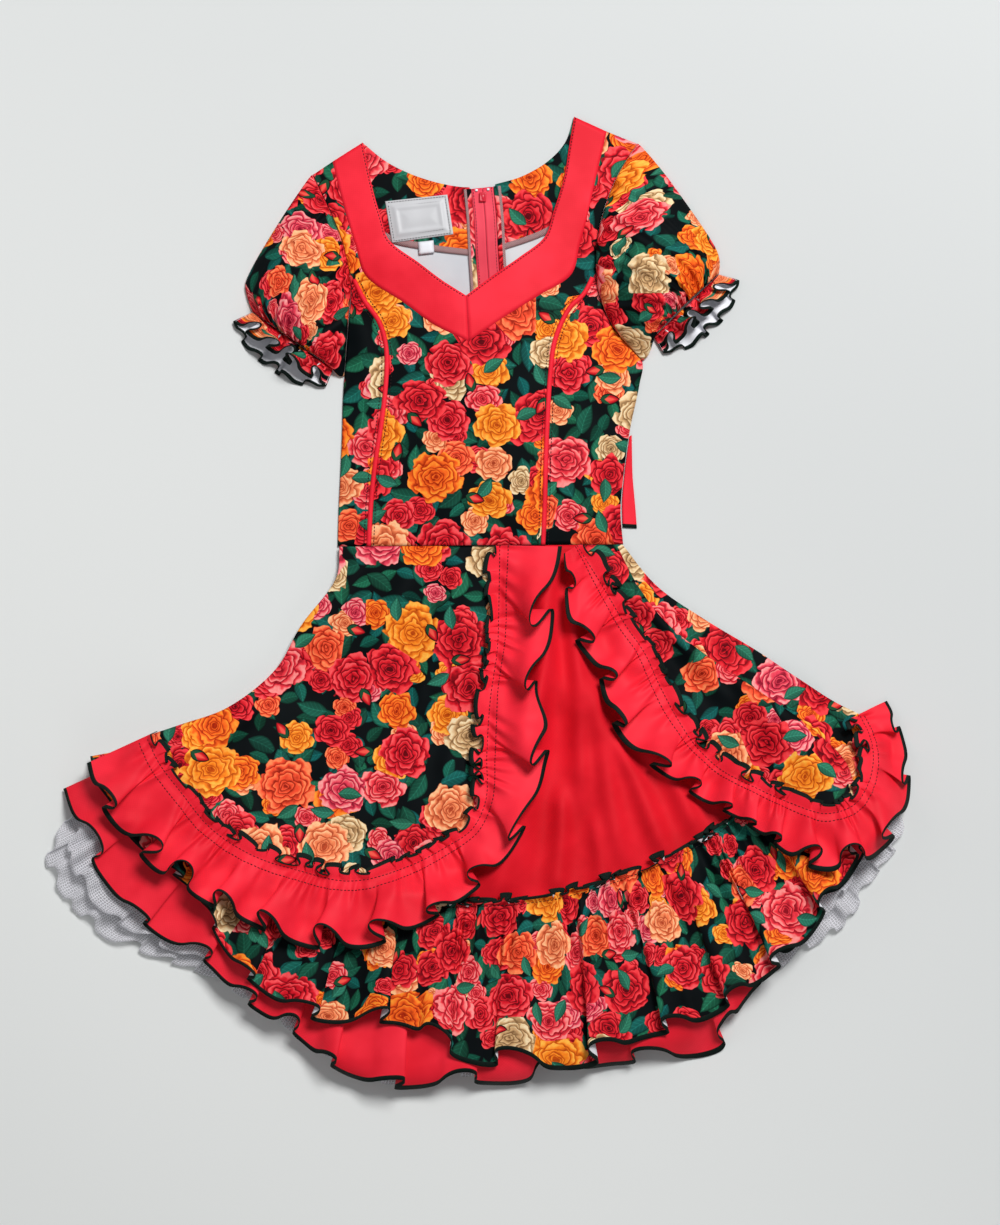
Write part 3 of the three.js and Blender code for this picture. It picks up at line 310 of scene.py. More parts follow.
def frill(line, hem, table, rows, gathers, pucker, omega, step, seed, narrow=0.0, heading=0.0, lean_size=0.5,
          dip=0.05, curl=1.0, loop=0.55, hem_share=0.35):
    """Plan, relief, flat cloth and edge faces of a frill between its gathers and its hem.

    table has a row for each wave: length, height, lean. gathers is the width of one gather and pucker its
    height, step the distance of the columns, dip how far a crest draws the hem up, curl and loop how the
    heading winds, and hem_share how far the hem alone gives the length of the flat cloth.
    """
    rng = np.random.default_rng(seed)
    table = np.array(table, float)
    f_ref, x_ref, z_ref, ratio = swing(omega, narrow)
    share = np.concatenate([[0], np.cumsum(table[:, 0])]) / table[:, 0].sum()
    hem_length = getattr(hem, "length", None) or Line(hem(np.linspace(0, 1, 300))).length
    lin, run, rise, lean, drawn = [], [], [], [], []
    for i, (_, height, tilt) in enumerate(table):
        a, b = share[i], share[i + 1]
        count = max(8, math.ceil((b - a) * hem_length * ratio / step))
        f = np.linspace(0, 1, count, endpoint=i == len(table) - 1)
        lin.append(mix(a, b, f))
        run.append(mix(a, b, np.interp(f, f_ref, x_ref)))
        z = np.interp(f, f_ref, z_ref)
        rise.append(height * z)
        lean.append(tilt * lean_size * (b - a) * z)
        drawn.append(dip * rng.uniform(0.6, 1.35) * np.maximum(z, 0)**1.5)
    lin, run, rise, lean, drawn = [np.concatenate(v) for v in (lin, run, rise, lean, drawn)]
    width = np.hypot(*np.moveaxis(hem(lin) - line(lin), -1, 0))
    edge = EDGE / float(np.percentile(width, 40))
    v = np.append(np.linspace(0, 1 - edge, rows) ** WAVE_STEEPNESS, 1.0)
    above = np.array([-1, -(heading - EDGE) / heading, *HEADING_ROWS]) if heading else np.array([])
    phase = lin * line.length / gathers + 0.55 * np.sin(lin * 37 + seed) + 0.3 * np.sin(lin * 91 + 2 * seed)
    size = 0.45 + 0.75 * np.abs(np.sin(phase * 0.83 + seed))
    loops = loop * phase
    plan, relief, flat = [], [], []
    for h in above:
        far = -h
        s = lin + 0.24 * gathers / line.length * far * curl * np.sin(4 * np.pi * loops) * size
        p, q = line(s), hem(s)
        out = (q - p) / np.maximum(np.hypot(*np.moveaxis(q - p, -1, 0)), 1)[:, None]
        back = heading * far * (1 - 0.3 * curl * bump(loops) * size)
        back = back + 2.0 * far * curl * np.sin(np.pi * phase + seed)
        plan.append(p - out * back[:, None])
        relief.append(pucker * (0.8 * bump(phase) + far * (0.5 + bump(loops))) * size)
        flat.append(np.stack([lin, np.full_like(lin, h * heading)], -1))
    for value in v:
        g = value**FRILL_GROW
        s = mix(lin, run, g) + g * lean
        p, q = line(s), hem(s)
        fade = (1 - smooth(value / STAY_GATHERED)) * 0.85
        plan.append(mix(p, q, (value * (1 - g * drawn))[:, None]))
        relief.append(g * rise + pucker * fade * bump(phase) * size * (0.55 + 1.4 * min(value, 0.18) / 0.18))
        flat.append(np.stack([lin, value * width], -1))
    plan, relief, flat = np.array(plan), np.array(relief), np.array(flat)
    steps = np.linalg.norm(np.diff(np.dstack([plan, relief]), axis=1), axis=2)
    full = mix(steps.sum(1).mean() / steps[-1].sum(), 1.0, hem_share)
    flat[..., 0] = np.concatenate([[0], np.cumsum(steps[-1])])[None, :] * full
    mask = np.zeros((len(plan) - 1, plan.shape[1] - 1), bool)
    mask[-1] = True
    if heading:
        mask[0] = True
    return plan, relief, flat, mask


# Making the meshes
def flat_cut(areas, flat):
    """Width, length and area of the smallest box round the flat pieces."""
    spots = np.vstack([f.reshape(-1, 2) for f in flat]) * MM
    best = None
    for angle in np.radians(np.arange(0, 90, 3)):
        turned = spots @ np.array([[math.cos(angle), -math.sin(angle)], [math.sin(angle), math.cos(angle)]])
        w, l = np.ptp(turned, axis=0)
        if best is None or w * l < best[0] * best[1]:
            best = (max(0.01, float(w)), max(0.01, float(l)))
    area = min(sum(areas), best[0] * best[1])
    return best, area


def quad_area(flat):
    a = flat[:-1, 1:] - flat[:-1, :-1]
    b = flat[1:, :-1] - flat[:-1, :-1]
    c = flat[1:, 1:] - flat[1:, :-1]
    d = flat[1:, 1:] - flat[:-1, 1:]
    one = np.abs(a[..., 0] * b[..., 1] - a[..., 1] * b[..., 0])
    two = np.abs(c[..., 0] * d[..., 1] - c[..., 1] * d[..., 0])
    return float((one + two).sum() / 2) * MM * MM


def make_grid(points, flat, mask, facing):
    """One grid of cloth as an object: facing is up, down or out."""
    if facing in ("up", "down"):
        a = points[:-1, 1:, :2] - points[:-1, :-1, :2]
        b = points[1:, :-1, :2] - points[:-1, :-1, :2]
        turned = (a[..., 0] * b[..., 1] - a[..., 1] * b[..., 0]).sum() > 0
        turned = turned if facing == "up" else not turned
    else:
        centre = points.reshape(-1, 3).mean(0)
        a = points[:-1, 1:] - points[:-1, :-1]
        b = points[1:, :-1] - points[:-1, :-1]
        turned = (np.cross(a, b) * (points[:-1, :-1] - centre)).sum() > 0
    if turned:
        points, flat, mask = points[:, ::-1], flat[:, ::-1], mask[:, ::-1]
    points, flat, mask = points[::-1], flat[::-1], mask[::-1]
    rows, columns = points.shape[:2]
    bpy.ops.mesh.primitive_grid_add(x_subdivisions=columns - 1, y_subdivisions=rows - 1, size=1,
                                    calc_uvs=True)
    piece = bpy.context.object
    mesh = piece.data
    mesh.vertices.foreach_set("co", ((points.reshape(-1, 3) + MIDDLE) * MM).astype("f").ravel())
    corner = np.empty(len(mesh.loops), "i")
    mesh.loops.foreach_get("vertex_index", corner)
    mesh.uv_layers[0].data.foreach_set("uv", (flat.reshape(-1, 2) * MM)[corner].astype("f").ravel())
    first = corner.reshape(-1, 4).min(axis=1)
    picks = mask[first // columns, first % columns]
    mesh.polygons.foreach_set("material_index", np.where(picks, 2, 0).astype("i"))
    mesh.polygons.foreach_set("use_smooth", np.ones(len(mesh.polygons), bool))
    mesh.update()
    return piece


SEAM_REACH = 0.00004                   # points this close are sewn into one


def cloth(name, grids, finishes, slot, nodes, wall=WALL, facing="up", weld=False):
    """A sheet of cloth from one or more grids of (points, flat, edge faces), with its wall and its seams.

    finishes are the outside, the inside and the edge. nodes are the solids that the sheet stands for.
    """
    pieces = [make_grid(points, flat, mask, facing) for points, flat, mask in grids]
    bpy.ops.object.select_all(action="DESELECT")
    for piece in pieces:
        piece.select_set(True)
    bpy.context.view_layer.objects.active = pieces[0]
    if len(pieces) > 1:
        bpy.ops.object.join()
    piece = bpy.context.object
    piece.name = name
    piece.data.name = name
    for finish in finishes:
        piece.data.materials.append(finish)
    if weld or len(grids) > 1:
        bpy.ops.object.mode_set(mode="EDIT")
        bpy.ops.mesh.select_all(action="SELECT")
        bpy.ops.mesh.remove_doubles(threshold=SEAM_REACH)
        bpy.ops.object.mode_set(mode="OBJECT")
    solid = piece.modifiers.new("wall", "SOLIDIFY")
    solid.thickness = wall * MM
    solid.offset = -1.0
    solid.material_offset = 1
    solid.material_offset_rim = 2
    bpy.ops.object.modifier_apply(modifier="wall")
    bpy.ops.object.select_all(action="DESELECT")
    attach(piece, "root")
    if nodes:
        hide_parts(*nodes)
    size, area = flat_cut([quad_area(flat) for _, flat, _ in grids], [flat for _, flat, _ in grids])
    return piece


def no_edge(plan):
    return np.zeros((plan.shape[0] - 1, plan.shape[1] - 1), bool)


CUT_AT = {   # where each piece is cut from the flat cloth: its turn in degrees, and its shift
    "back": (2, (400, 900)),
    "turned_edge": (4, (500, 300)),
    "facing": (-20, (150, 300)),
    "front": (6, (700, 200)),
    "band": (40, (700, 200)),
    "front_centre": (0, (250, 130)),
    "overlay_back": (0, (0, 800)),
    "skirt_front": (3, (0, 0)),
    "overlay_left": (-8, (0, 300)),
    "overlay_right": (30, (600, 500)),
    "overlay_side": (30, (100, 50)),
}
PUFF_LEFT_SHIFT = (300, 700)
PUFF_RIGHT_SHIFT = (300, 0)
CUFF_SHIFT = (900, 200)
FLOUNCE_SHIFT = (0, 500)
YOKE_SHIFT = (700, -340)


def turn_flat(plan, place):
    """Flat cloth under a panel: its plan, turned to the run of the weave."""
    angle, shift = CUT_AT[place]
    c, s = math.cos(math.radians(angle)), math.sin(math.radians(angle))
    return plan @ np.array([[c, -s], [s, c]]) + np.array(shift)


# Outlines of the bodice, from the neck down
WAIST_LEFT = (-164, 68)
WAIST_RIGHT = (167, 70.5)


def waist(x):
    return mix(WAIST_LEFT[1], WAIST_RIGHT[1], (x - WAIST_LEFT[0]) / (WAIST_RIGHT[0] - WAIST_LEFT[0]))


def on_waist(x):
    return (x, waist(x))


def under_waist(x):
    return (x, waist(x) - 0.5)


SHOULDER_LEFT = [(-193, 499), (-170, 514), (-135, 536)]
SHOULDER_RIGHT = [(183, 535), (148, 549), (110, 566)]
ARMHOLE_LEFT = [(-193, 499), (-174, 460), (-158, 420), (-150, 386), (-148, 362), (-151, 330), (-156, 266)]
ARMHOLE_RIGHT = [
    (183, 535), (160, 498), (143, 454), (135, 414), (135, 386), (138, 362), (154, 324), (189, 283),
]
SIDE_LEFT = [(-156, 266), (-158, 236), (-159, 195), (-161, 150), (-163, 107), WAIST_LEFT]
SIDE_RIGHT = [(189, 283), (186, 256), (175, 204), (168, 155), (164, 109), WAIST_RIGHT]
BAND_OUTER_LEFT = [(-170, 514), (-156, 458), (-143, 416), (-132, 382), (-85, 348), (-51, 323), (-12, 304)]
BAND_OUTER_RIGHT = [
    (148, 549), (136, 498), (126, 454), (116, 415), (107, 383), (70, 358), (29, 332), (-12, 304),
]
BAND_INNER_LEFT = [(-135, 536), (-122, 477), (-113, 447), (-105, 423), (-68, 394), (-43, 375), (-15, 357)]
BAND_INNER_RIGHT = [(110, 566), (104, 530), (99, 498), (86, 455), (76, 426), (47, 402), (17, 381), (-15, 357)]
PRINCESS_LEFT = [
    (-150, 386), (-132, 351), (-116, 328), (-108, 301), (-107, 270), (-112, 218), (-120, 167),
    (-125, 121), on_waist(-128),
]
PRINCESS_RIGHT = [
    (135, 386), (121, 360), (105, 344), (88, 307), (82, 264), (79, 213), (77, 164), (76, 117),
    on_waist(74),
]
NECK_BACK_LEFT = [(-135, 536), (-109, 515), (-82, 501), (-49, 490), (-22, 485), (2, 484)]
NECK_BACK_RIGHT = [(110, 566), (100, 537), (80, 515), (49, 497), (22, 489), (5, 484)]
ZIP_LINE = [
    (3.5, 484), (7, 448), (9, 408), (12, 362), (13, 305), (14, 253), (15, 207), (16, 155), (17, 109),
    on_waist(18),
]
FACING_LOW_LEFT = [(-130, 443), (-105, 422), (-56, 411), (-8, 405)]
FACING_LOW_RIGHT = [(110, 448), (76, 429), (53, 420), (25, 411)]
FACING_CORNERS = {"left": (-11, 484.5), "right": (18.5, 488)}
LABEL_CORNERS = [(-109, 468), (-37, 476), (-30, 430), (-101, 420)]
TAG_CORNERS = [(-71, 421), (-53, 423), (-52, 408), (-70, 406)]
V_POINT = (-12, 304)
PRINCESS_AT_V = 3
CROWN = [   # y, left, right, rise
    (60, -165, 167, 5), (144, -161, 167, 12), (201, -159, 175, 15), (266, -157, 187, 17),
    (320, -154, 156, 17), (374, -149, 136, 15), (425, -160, 137, 11), (470, -179, 151, 7),
    (520, -193, 183, 2), (570, -193, 183, 0),
]
SLEEVE_LEFT = [   # upper, middle, lower, rise
    ((-195, 500), (-152, 389), (-157, 265), 1), ((-214, 492), (-173, 390), (-159, 265), 18),
    ((-243, 465), (-196, 380), (-161, 265), 31), ((-262, 434), (-213, 363), (-163, 266), 37),
    ((-271, 401), (-224, 345), (-165, 267), 34), ((-269, 367), (-226, 326), (-167, 270), 26),
    ((-263, 340), (-217, 307), (-169, 274), 13),
]
SLEEVE_RIGHT = [   # upper, middle, lower, rise
    ((185, 536), (136.5, 412), (190, 285), 1), ((213, 531), (164, 413), (193, 286), 18),
    ((244, 505), (192, 406), (196, 289), 32), ((265, 470), (213, 392), (198, 293), 38),
    ((276, 434), (228, 374), (200, 298), 35), ((279, 408), (236, 362), (201, 304), 27),
    ((278, 384), (240, 349), (202, 311), 14),
]

# Outlines of the skirt, left to right
FLOUNCE_HEAD = [
    (-361, -158), (-321, -224), (-240, -296), (-125, -342), (13, -346), (93, -337), (185, -308),
    (254, -276), (323, -224), (386, -161),
]
FLOUNCE_HEM = [
    (-450, -175), (-435, -218), (-388, -282), (-327, -331), (-296, -391), (-263, -431), (-194, -475),
    (-137, -480), (-85, -483), (-33, -518), (47, -535), (139, -528), (185, -500), (231, -489),
    (277, -468), (323, -434), (369, -397), (406, -339), (440, -282), (461, -224),
]
RED_HEM = [
    (-482, -213), (-439, -310), (-378, -376), (-315, -414), (-275, -454), (-217, -494), (-171, -532),
    (-108, -558), (-22, -554), (59, -555), (139, -535), (214, -530), (286, -514), (306, -460),
    (358, -402), (404, -345), (447, -282), (467, -230),
]
NET_BACK_HEM = [
    (-459, -218), (-503, -296), (-482, -339), (-436, -385), (-378, -408), (-309, -434), (-217, -494),
    (-120, -553), (1, -544), (139, -523), (254, -494), (358, -414), (427, -368), (459, -316),
    (493, -264), (473, -213),
]
NET_FRONT_HEM = [
    (-438, -224), (-475, -282), (-450, -339), (-401, -379), (-332, -411), (-275, -448), (-194, -500),
    (-114, -540), (1, -532), (139, -512), (254, -471), (358, -397), (413, -345), (444, -299),
    (476, -259), (457, -207),
]
BACK_HEM = [
    (-424, -213), (-401, -305), (-309, -391), (-206, -483), (-91, -535), (24, -532), (139, -512),
    (254, -489), (358, -374), (421, -282), (444, -218),
]
OVERLAY_BACK_HEM = [
    (-318, -160), (-263, -264), (-148, -305), (24, -293), (254, -224), (369, -201), (408, -152),
]
OVERLAY_LEFT_SIDE = [(-165, 32), (-206, -24), (-235, -74), (-290, -118), (-345, -138), (-381, -150)]
OVERLAY_RIGHT_FOLD = [(184, 22), (216, -20), (268, -62), (330, -104), (383, -142), (424, -186), (428, -228)]
OVERLAY_RIGHT_SIDE = [(206, 22), (262, -17), (322, -53), (368, -84), (412, -112), (440, -126)]
NET_SEAM = [(-395, -200), (-295, -325), (0, -435), (315, -325), (415, -202)]
SASH = {
    "top": [(174.5, 196), (177, 197)],
    "right": [(177, 197), (178, 150), (181, 115), (183, 89)],
    "bottom": [(166.6, 90), (183, 89)],
    "left": [(174.5, 196), (169, 155), (165.8, 118), (166.6, 90)],
}
RED_HEM_WAVES = [   # length, height, lean
    (90, 10, 0.3), (70, 13, 0.4), (62, 13, 0.5), (55, 15, 0.6), (48, 17, 0.5), (44, 15, 0.6),
    (66, 18, 0.7), (80, 13, 0.3), (110, 9, 0.1), (90, 10, -0.3), (75, 12, -0.4), (70, 14, -0.4),
    (80, 14, -0.5), (60, 13, -0.4),
]
FLOUNCE_WAVES = [   # length, height, lean
    (70, 14, 0.5), (85, 19, 0.6), (60, 22, 0.4), (55, 19, 0.6), (75, 16, 0.5), (60, 25, 0.7),
    (85, 17, 0.2), (105, 14, -0.3), (75, 23, -0.6), (60, 18, -0.5), (62, 19, -0.3), (66, 18, -0.6),
    (60, 20, -0.4), (70, 15, -0.5),
]
LEFT_WAVES = [   # length, height, lean
    (84, 30, 0.8), (72, 32, 0.6), (80, 33, 0.8), (66, 30, 0.7), (46, 26, 0.5), (44, 28, 0.7),
    (50, 32, 0.8), (46, 28, 0.6), (52, 31, 0.8), (48, 28, 0.5), (50, 22, 0.1), (56, 30, -0.7),
    (50, 24, -0.5),
]
RIGHT_WAVES = [   # length, height, lean
    (50, 16, 0.4), (62, 28, 0.7), (56, 31, 0.8), (60, 30, 0.6), (56, 32, 0.8), (42, 26, 0.5),
    (34, 24, 0.7), (32, 26, 0.8), (36, 24, 0.6), (34, 26, 0.8), (40, 20, 0.1), (44, 25, -0.6),
    (40, 22, -0.7), (36, 16, -0.5),
]
RUFFLE_LEFT = [   # x, y, width
    (24, 69, 72), (23, 6, 66), (21, -52, 62), (13, -109, 52), (9, -172, 74), (8, -224, 66),
    (-8, -258, 52), (-40, -280, 60), (-82, -301, 68), (-148, -316, 78), (-206, -304, 82),
    (-259, -286, 74), (-304, -257, 74), (-340, -215, 82), (-366, -181, 84), (-381, -150, 76),
]
RUFFLE_RIGHT = [   # x, y, width
    (113, 69, 18), (140, 26, 42), (169, -23, 60), (192, -57, 58), (208, -92, 63), (231, -135, 70),
    (251, -164, 66), (279, -190, 50), (312, -207, 42), (355, -226, 42), (396, -238, 50), (428, -228, 64),
    (445, -204, 66), (452, -178, 56), (450, -150, 42), (440, -126, 36),
]


# Finishes
class Tree:
    """Places nodes in a material or a node group."""

    def __init__(self, tree):
        self.tree = tree

    def put(self, kind, inputs=None, **settings):
        node = self.tree.nodes.new(kind)
        for name, value in settings.items():
            setattr(node, name, value)
        for socket, value in (inputs or {}).items():
            if isinstance(value, bpy.types.NodeSocket):
                self.tree.links.new(value, node.inputs[socket])
            else:
                node.inputs[socket].default_value = value
        return node

    def math(self, operation, *values, clamp=False):
        node = self.put("ShaderNodeMath", dict(enumerate(values)), operation=operation, use_clamp=clamp)
        return node.outputs[0]

    def vector(self, operation, *values):
        node = self.put("ShaderNodeVectorMath", dict(enumerate(values)), operation=operation)
        return node.outputs[1] if operation in ("LENGTH", "DISTANCE", "DOT_PRODUCT") else node.outputs[0]

    def steps(self, value, low, high, out_low=0.0, out_high=1.0, soft=True):
        node = self.put("ShaderNodeMapRange", {"Value": value, "From Min": low, "From Max": high,
                                               "To Min": out_low, "To Max": out_high},
                        interpolation_type="SMOOTHSTEP" if soft else "LINEAR")
        return node.outputs[0]

    def blend(self, share, a, b, kind="RGBA", mode="MIX"):
        node = self.put("ShaderNodeMix", data_type=kind)
        if kind == "RGBA":
            node.blend_type = mode
        places = {"RGBA": (6, 7, 2), "FLOAT": (2, 3, 0)}[kind]
        for place, value in ((0, share), (places[0], a), (places[1], b)):
            if isinstance(value, bpy.types.NodeSocket):
                self.tree.links.new(value, node.inputs[place])
            else:
                node.inputs[place].default_value = value
        return node.outputs[places[2]]

    def ramp(self, share, stops, constant=False):
        node = self.put("ShaderNodeValToRGB", {"Fac": share})
        bar = node.color_ramp
        bar.interpolation = "CONSTANT" if constant else "EASE"
        while len(bar.elements) < len(stops):
            bar.elements.new(1.0)
        for element, (place, color) in zip(bar.elements, stops):
            element.position = place
            element.color = (*color, 1)
        return node.outputs["Color"]

    def split(self, vector):
        return self.put("ShaderNodeSeparateXYZ", {0: vector}).outputs


def group(name, inputs, outputs):
    """A node group with named sockets: its tree, its inputs by name and a function that sets its outputs."""
    tree = bpy.data.node_groups.new(name, "ShaderNodeTree")
    kinds = {"f": "NodeSocketFloat", "v": "NodeSocketVector", "c": "NodeSocketColor"}
    for socket, kind, value in inputs:
        made = tree.interface.new_socket(socket, in_out="INPUT", socket_type=kinds[kind])
        if value is not None:
            made.default_value = value
    for socket, kind in outputs:
        tree.interface.new_socket(socket, in_out="OUTPUT", socket_type=kinds[kind])
    t = Tree(tree)
    entry = t.put("NodeGroupInput").outputs
    leave = t.put("NodeGroupOutput")

    def give(**values):
        for socket, value in values.items():
            tree.links.new(value, leave.inputs[socket])

    return t, entry, give, tree


def use(t, tree, **values):
    """Places a node group and sets its inputs."""
    node = t.put("ShaderNodeGroup", node_tree=tree)
    for socket, value in values.items():
        if isinstance(value, bpy.types.NodeSocket):
            t.tree.links.new(value, node.inputs[socket])
        else:
            node.inputs[socket].default_value = value
    return node.outputs


# The print, in metres on the flat cloth
PETAL_RINGS = [   # share of the rose's radius, petals, turn
    (1.0, 5, 0.0), (0.80, 5, 0.47), (0.60, 4, 0.15), (0.42, 3, 0.6), (0.25, 3, 0.2), (0.12, 2, 0.5),
]
ROSE_KINDS = [   # place, deep colour, middle, light
    (0.00, (0.09, 0.001, 0.004), (0.62, 0.008, 0.018), (0.93, 0.055, 0.065)),
    (0.20, (0.24, 0.003, 0.010), (0.84, 0.036, 0.055), (0.97, 0.280, 0.260)),
    (0.34, (0.36, 0.018, 0.002), (0.90, 0.120, 0.012), (1.00, 0.300, 0.030)),
    (0.46, (0.46, 0.060, 0.003), (0.92, 0.230, 0.014), (1.00, 0.440, 0.060)),
    (0.55, (0.42, 0.055, 0.018), (0.90, 0.230, 0.090), (1.00, 0.520, 0.260)),
    (0.64, (0.12, 0.001, 0.004), (0.70, 0.010, 0.022), (0.95, 0.090, 0.100)),
    (0.82, (0.20, 0.100, 0.038), (0.62, 0.370, 0.170), (0.90, 0.700, 0.420)),
    (0.88, (0.24, 0.004, 0.020), (0.78, 0.050, 0.090), (0.96, 0.330, 0.320)),
    (0.95, (0.30, 0.012, 0.004), (0.90, 0.080, 0.030), (1.00, 0.240, 0.090)),
]
LEAF_GREENS = [   # place, colour
    (0.0, (0.004, 0.040, 0.022)), (0.3, (0.006, 0.075, 0.045)), (0.55, (0.004, 0.090, 0.085)),
    (0.8, (0.012, 0.120, 0.060)), (1.0, (0.002, 0.030, 0.022)),
]
BUD_REDS = [   # place, colour
    (0.0, (0.20, 0.002, 0.005)), (0.45, (0.62, 0.012, 0.020)), (1.0, (0.90, 0.10, 0.07)),
]
LEAF_LAYERS = [   # spacing, length, shift, glow, keep
    (0.026, 0.014, (0.31, 0.17, 0), 0.0, 0.95),
    (0.034, 0.019, (0.05, 0.44, 0), 0.15, 0.9),
]
ROSE_LAYERS = [   # spacing, radius, shift, loose, keep
    (0.044, 0.0165, (0.13, 0.61, 0), 0.85, 0.68),
    (0.056, 0.0240, (0.71, 0.23, 0), 0.7, 0.84),
    (0.069, 0.0325, (0.37, 0.09, 0), 0.6, 0.86),
]
TOP_LEAVES = {"Spacing": 0.058, "Length": 0.0145, "Shift": (0.93, 0.51, 0), "Glow": 0.75, "Keep": 0.55}
TOP_BUDS = {"Spacing": 0.085, "Length": 0.0105, "Shift": (0.57, 0.77, 0)}
FULL_TURN = 6.283


def petal_ring():
    """One ring of petals over the shade so far: light rims, dark folds, a shadow outside the ring."""
    t, i, give, tree = group("petal_ring", [("Turn", "f", 0), ("Far", "f", 0), ("Ring", "f", 1),
                                            ("Petals", "f", 5), ("Start", "f", 0), ("Under", "f", 0)],
                             [("Shade", "f"), ("Inside", "f")])
    place = t.math("ADD", t.math("MULTIPLY", i["Turn"], i["Petals"]), i["Start"])
    fold = t.math("ABSOLUTE", t.math("SUBTRACT", t.math("FRACT", place), 0.5))
    fold = t.math("MULTIPLY", fold, 2.0)
    notch = t.math("POWER", fold, 2.6)
    rim = t.math("MULTIPLY", i["Ring"], t.math("MULTIPLY_ADD", notch, -0.22, 1.0))
    reach = t.math("DIVIDE", i["Far"], rim)
    inside = t.steps(reach, 1.015, 0.975)
    body = t.steps(reach, 0.38, 0.99, 0.10, 0.92)
    lobe = t.math("MULTIPLY", t.steps(fold, 0.45, 1.0), -0.42)
    lip = t.math("MULTIPLY", t.steps(reach, 0.88, 0.97), 0.14)
    shade = t.math("ADD", t.math("ADD", body, lobe), lip, clamp=True)
    shadow = t.steps(reach, 1.0, 1.28, 0.25, 1.0)
    below = t.math("MULTIPLY", i["Under"], shadow)
    give(Shade=t.blend(inside, below, shade, "FLOAT"), Inside=inside)
    return tree


def rose_layer(ring):
    """Roses of one size, scattered over the cloth: shade from fold to rim, a mask and a number for each."""
    t, i, give, tree = group("rose_layer", [("Vector", "v", None), ("Spacing", "f", 0.07),
                                            ("Radius", "f", 0.03), ("Shift", "v", None),
                                            ("Loose", "f", 0.7), ("Keep", "f", 1.0)],
                             [("Shade", "f"), ("Mask", "f"), ("Number", "f")])
    spot = t.vector("ADD", i["Vector"], i["Shift"])
    cells = t.put("ShaderNodeTexVoronoi", {"Vector": spot, "Scale": t.math("DIVIDE", 1.0, i["Spacing"]),
                                           "Randomness": i["Loose"]}, voronoi_dimensions="2D")
    number, spin, third = t.split(cells.outputs["Color"])
    away = t.vector("SUBTRACT", spot, cells.outputs["Position"])
    size = t.math("MULTIPLY", i["Radius"], t.math("MULTIPLY_ADD", third, 0.3, 0.85))
    x, y, _ = t.split(away)
    x = t.math("DIVIDE", x, size)
    y = t.math("DIVIDE", t.math("MULTIPLY", y, t.math("MULTIPLY_ADD", spin, 0.3, 0.95)), size)
    waver = t.put("ShaderNodeTexNoise", {"Vector": spot, "Scale": 85.0, "Detail": 1.0}, noise_dimensions="2D")
    wx, wy, _ = t.split(waver.outputs["Color"])
    turn = t.math("DIVIDE", t.math("ARCTAN2", y, x), 2 * math.pi)
    turn = t.math("ADD", turn, spin)
    far = t.math("SQRT", t.math("ADD", t.math("MULTIPLY", x, x), t.math("MULTIPLY", y, y)))
    far = t.math("ADD", far, t.math("MULTIPLY_ADD", wx, 0.34, -0.17))
    turn = t.math("ADD", turn, t.math("MULTIPLY_ADD", wy, 0.10, -0.05))
    shade, mask = 0.0, None
    for size_share, petals, start in PETAL_RINGS:
        made = use(t, ring, Turn=turn, Far=far, Ring=size_share, Petals=petals, Start=start, Under=shade)
        shade = made["Shade"]
        mask = mask or made["Inside"]
    depth = t.steps(far, 0.0, 0.9, 0.62, 1.05)
    shade = t.math("MULTIPLY", shade, depth, clamp=True)
    kept = t.math("LESS_THAN", t.math("FRACT", t.math("MULTIPLY", third, 7.31)), i["Keep"])
    give(Shade=shade, Mask=t.math("MULTIPLY", mask, kept), Number=number)
    return tree


def petal_paint():
    """Colour of a rose from its number and shade."""
    t, i, give, tree = group("petal_paint", [("Number", "f", 0), ("Shade", "f", 0), ("Vector", "v", None)],
                             [("Color", "c")])
    deep = t.ramp(i["Number"], [(p, c) for p, c, _, _ in ROSE_KINDS], constant=True)
    middle = t.ramp(i["Number"], [(p, c) for p, _, c, _ in ROSE_KINDS], constant=True)
    light = t.ramp(i["Number"], [(p, c) for p, _, _, c in ROSE_KINDS], constant=True)
    low = t.blend(t.steps(i["Shade"], 0.02, 0.55), deep, middle)
    color = t.blend(t.steps(i["Shade"], 0.50, 1.0), low, light)
    grain = t.put("ShaderNodeTexNoise", {"Vector": i["Vector"], "Scale": 260.0, "Detail": 2.0},
                  noise_dimensions="2D").outputs["Fac"]
    greys = t.ramp(grain, [(0.3, (0.25, 0.25, 0.25)), (0.7, (0.75, 0.75, 0.75))])
    give(Color=t.blend(0.30, color, greys, mode="OVERLAY"))
    return tree


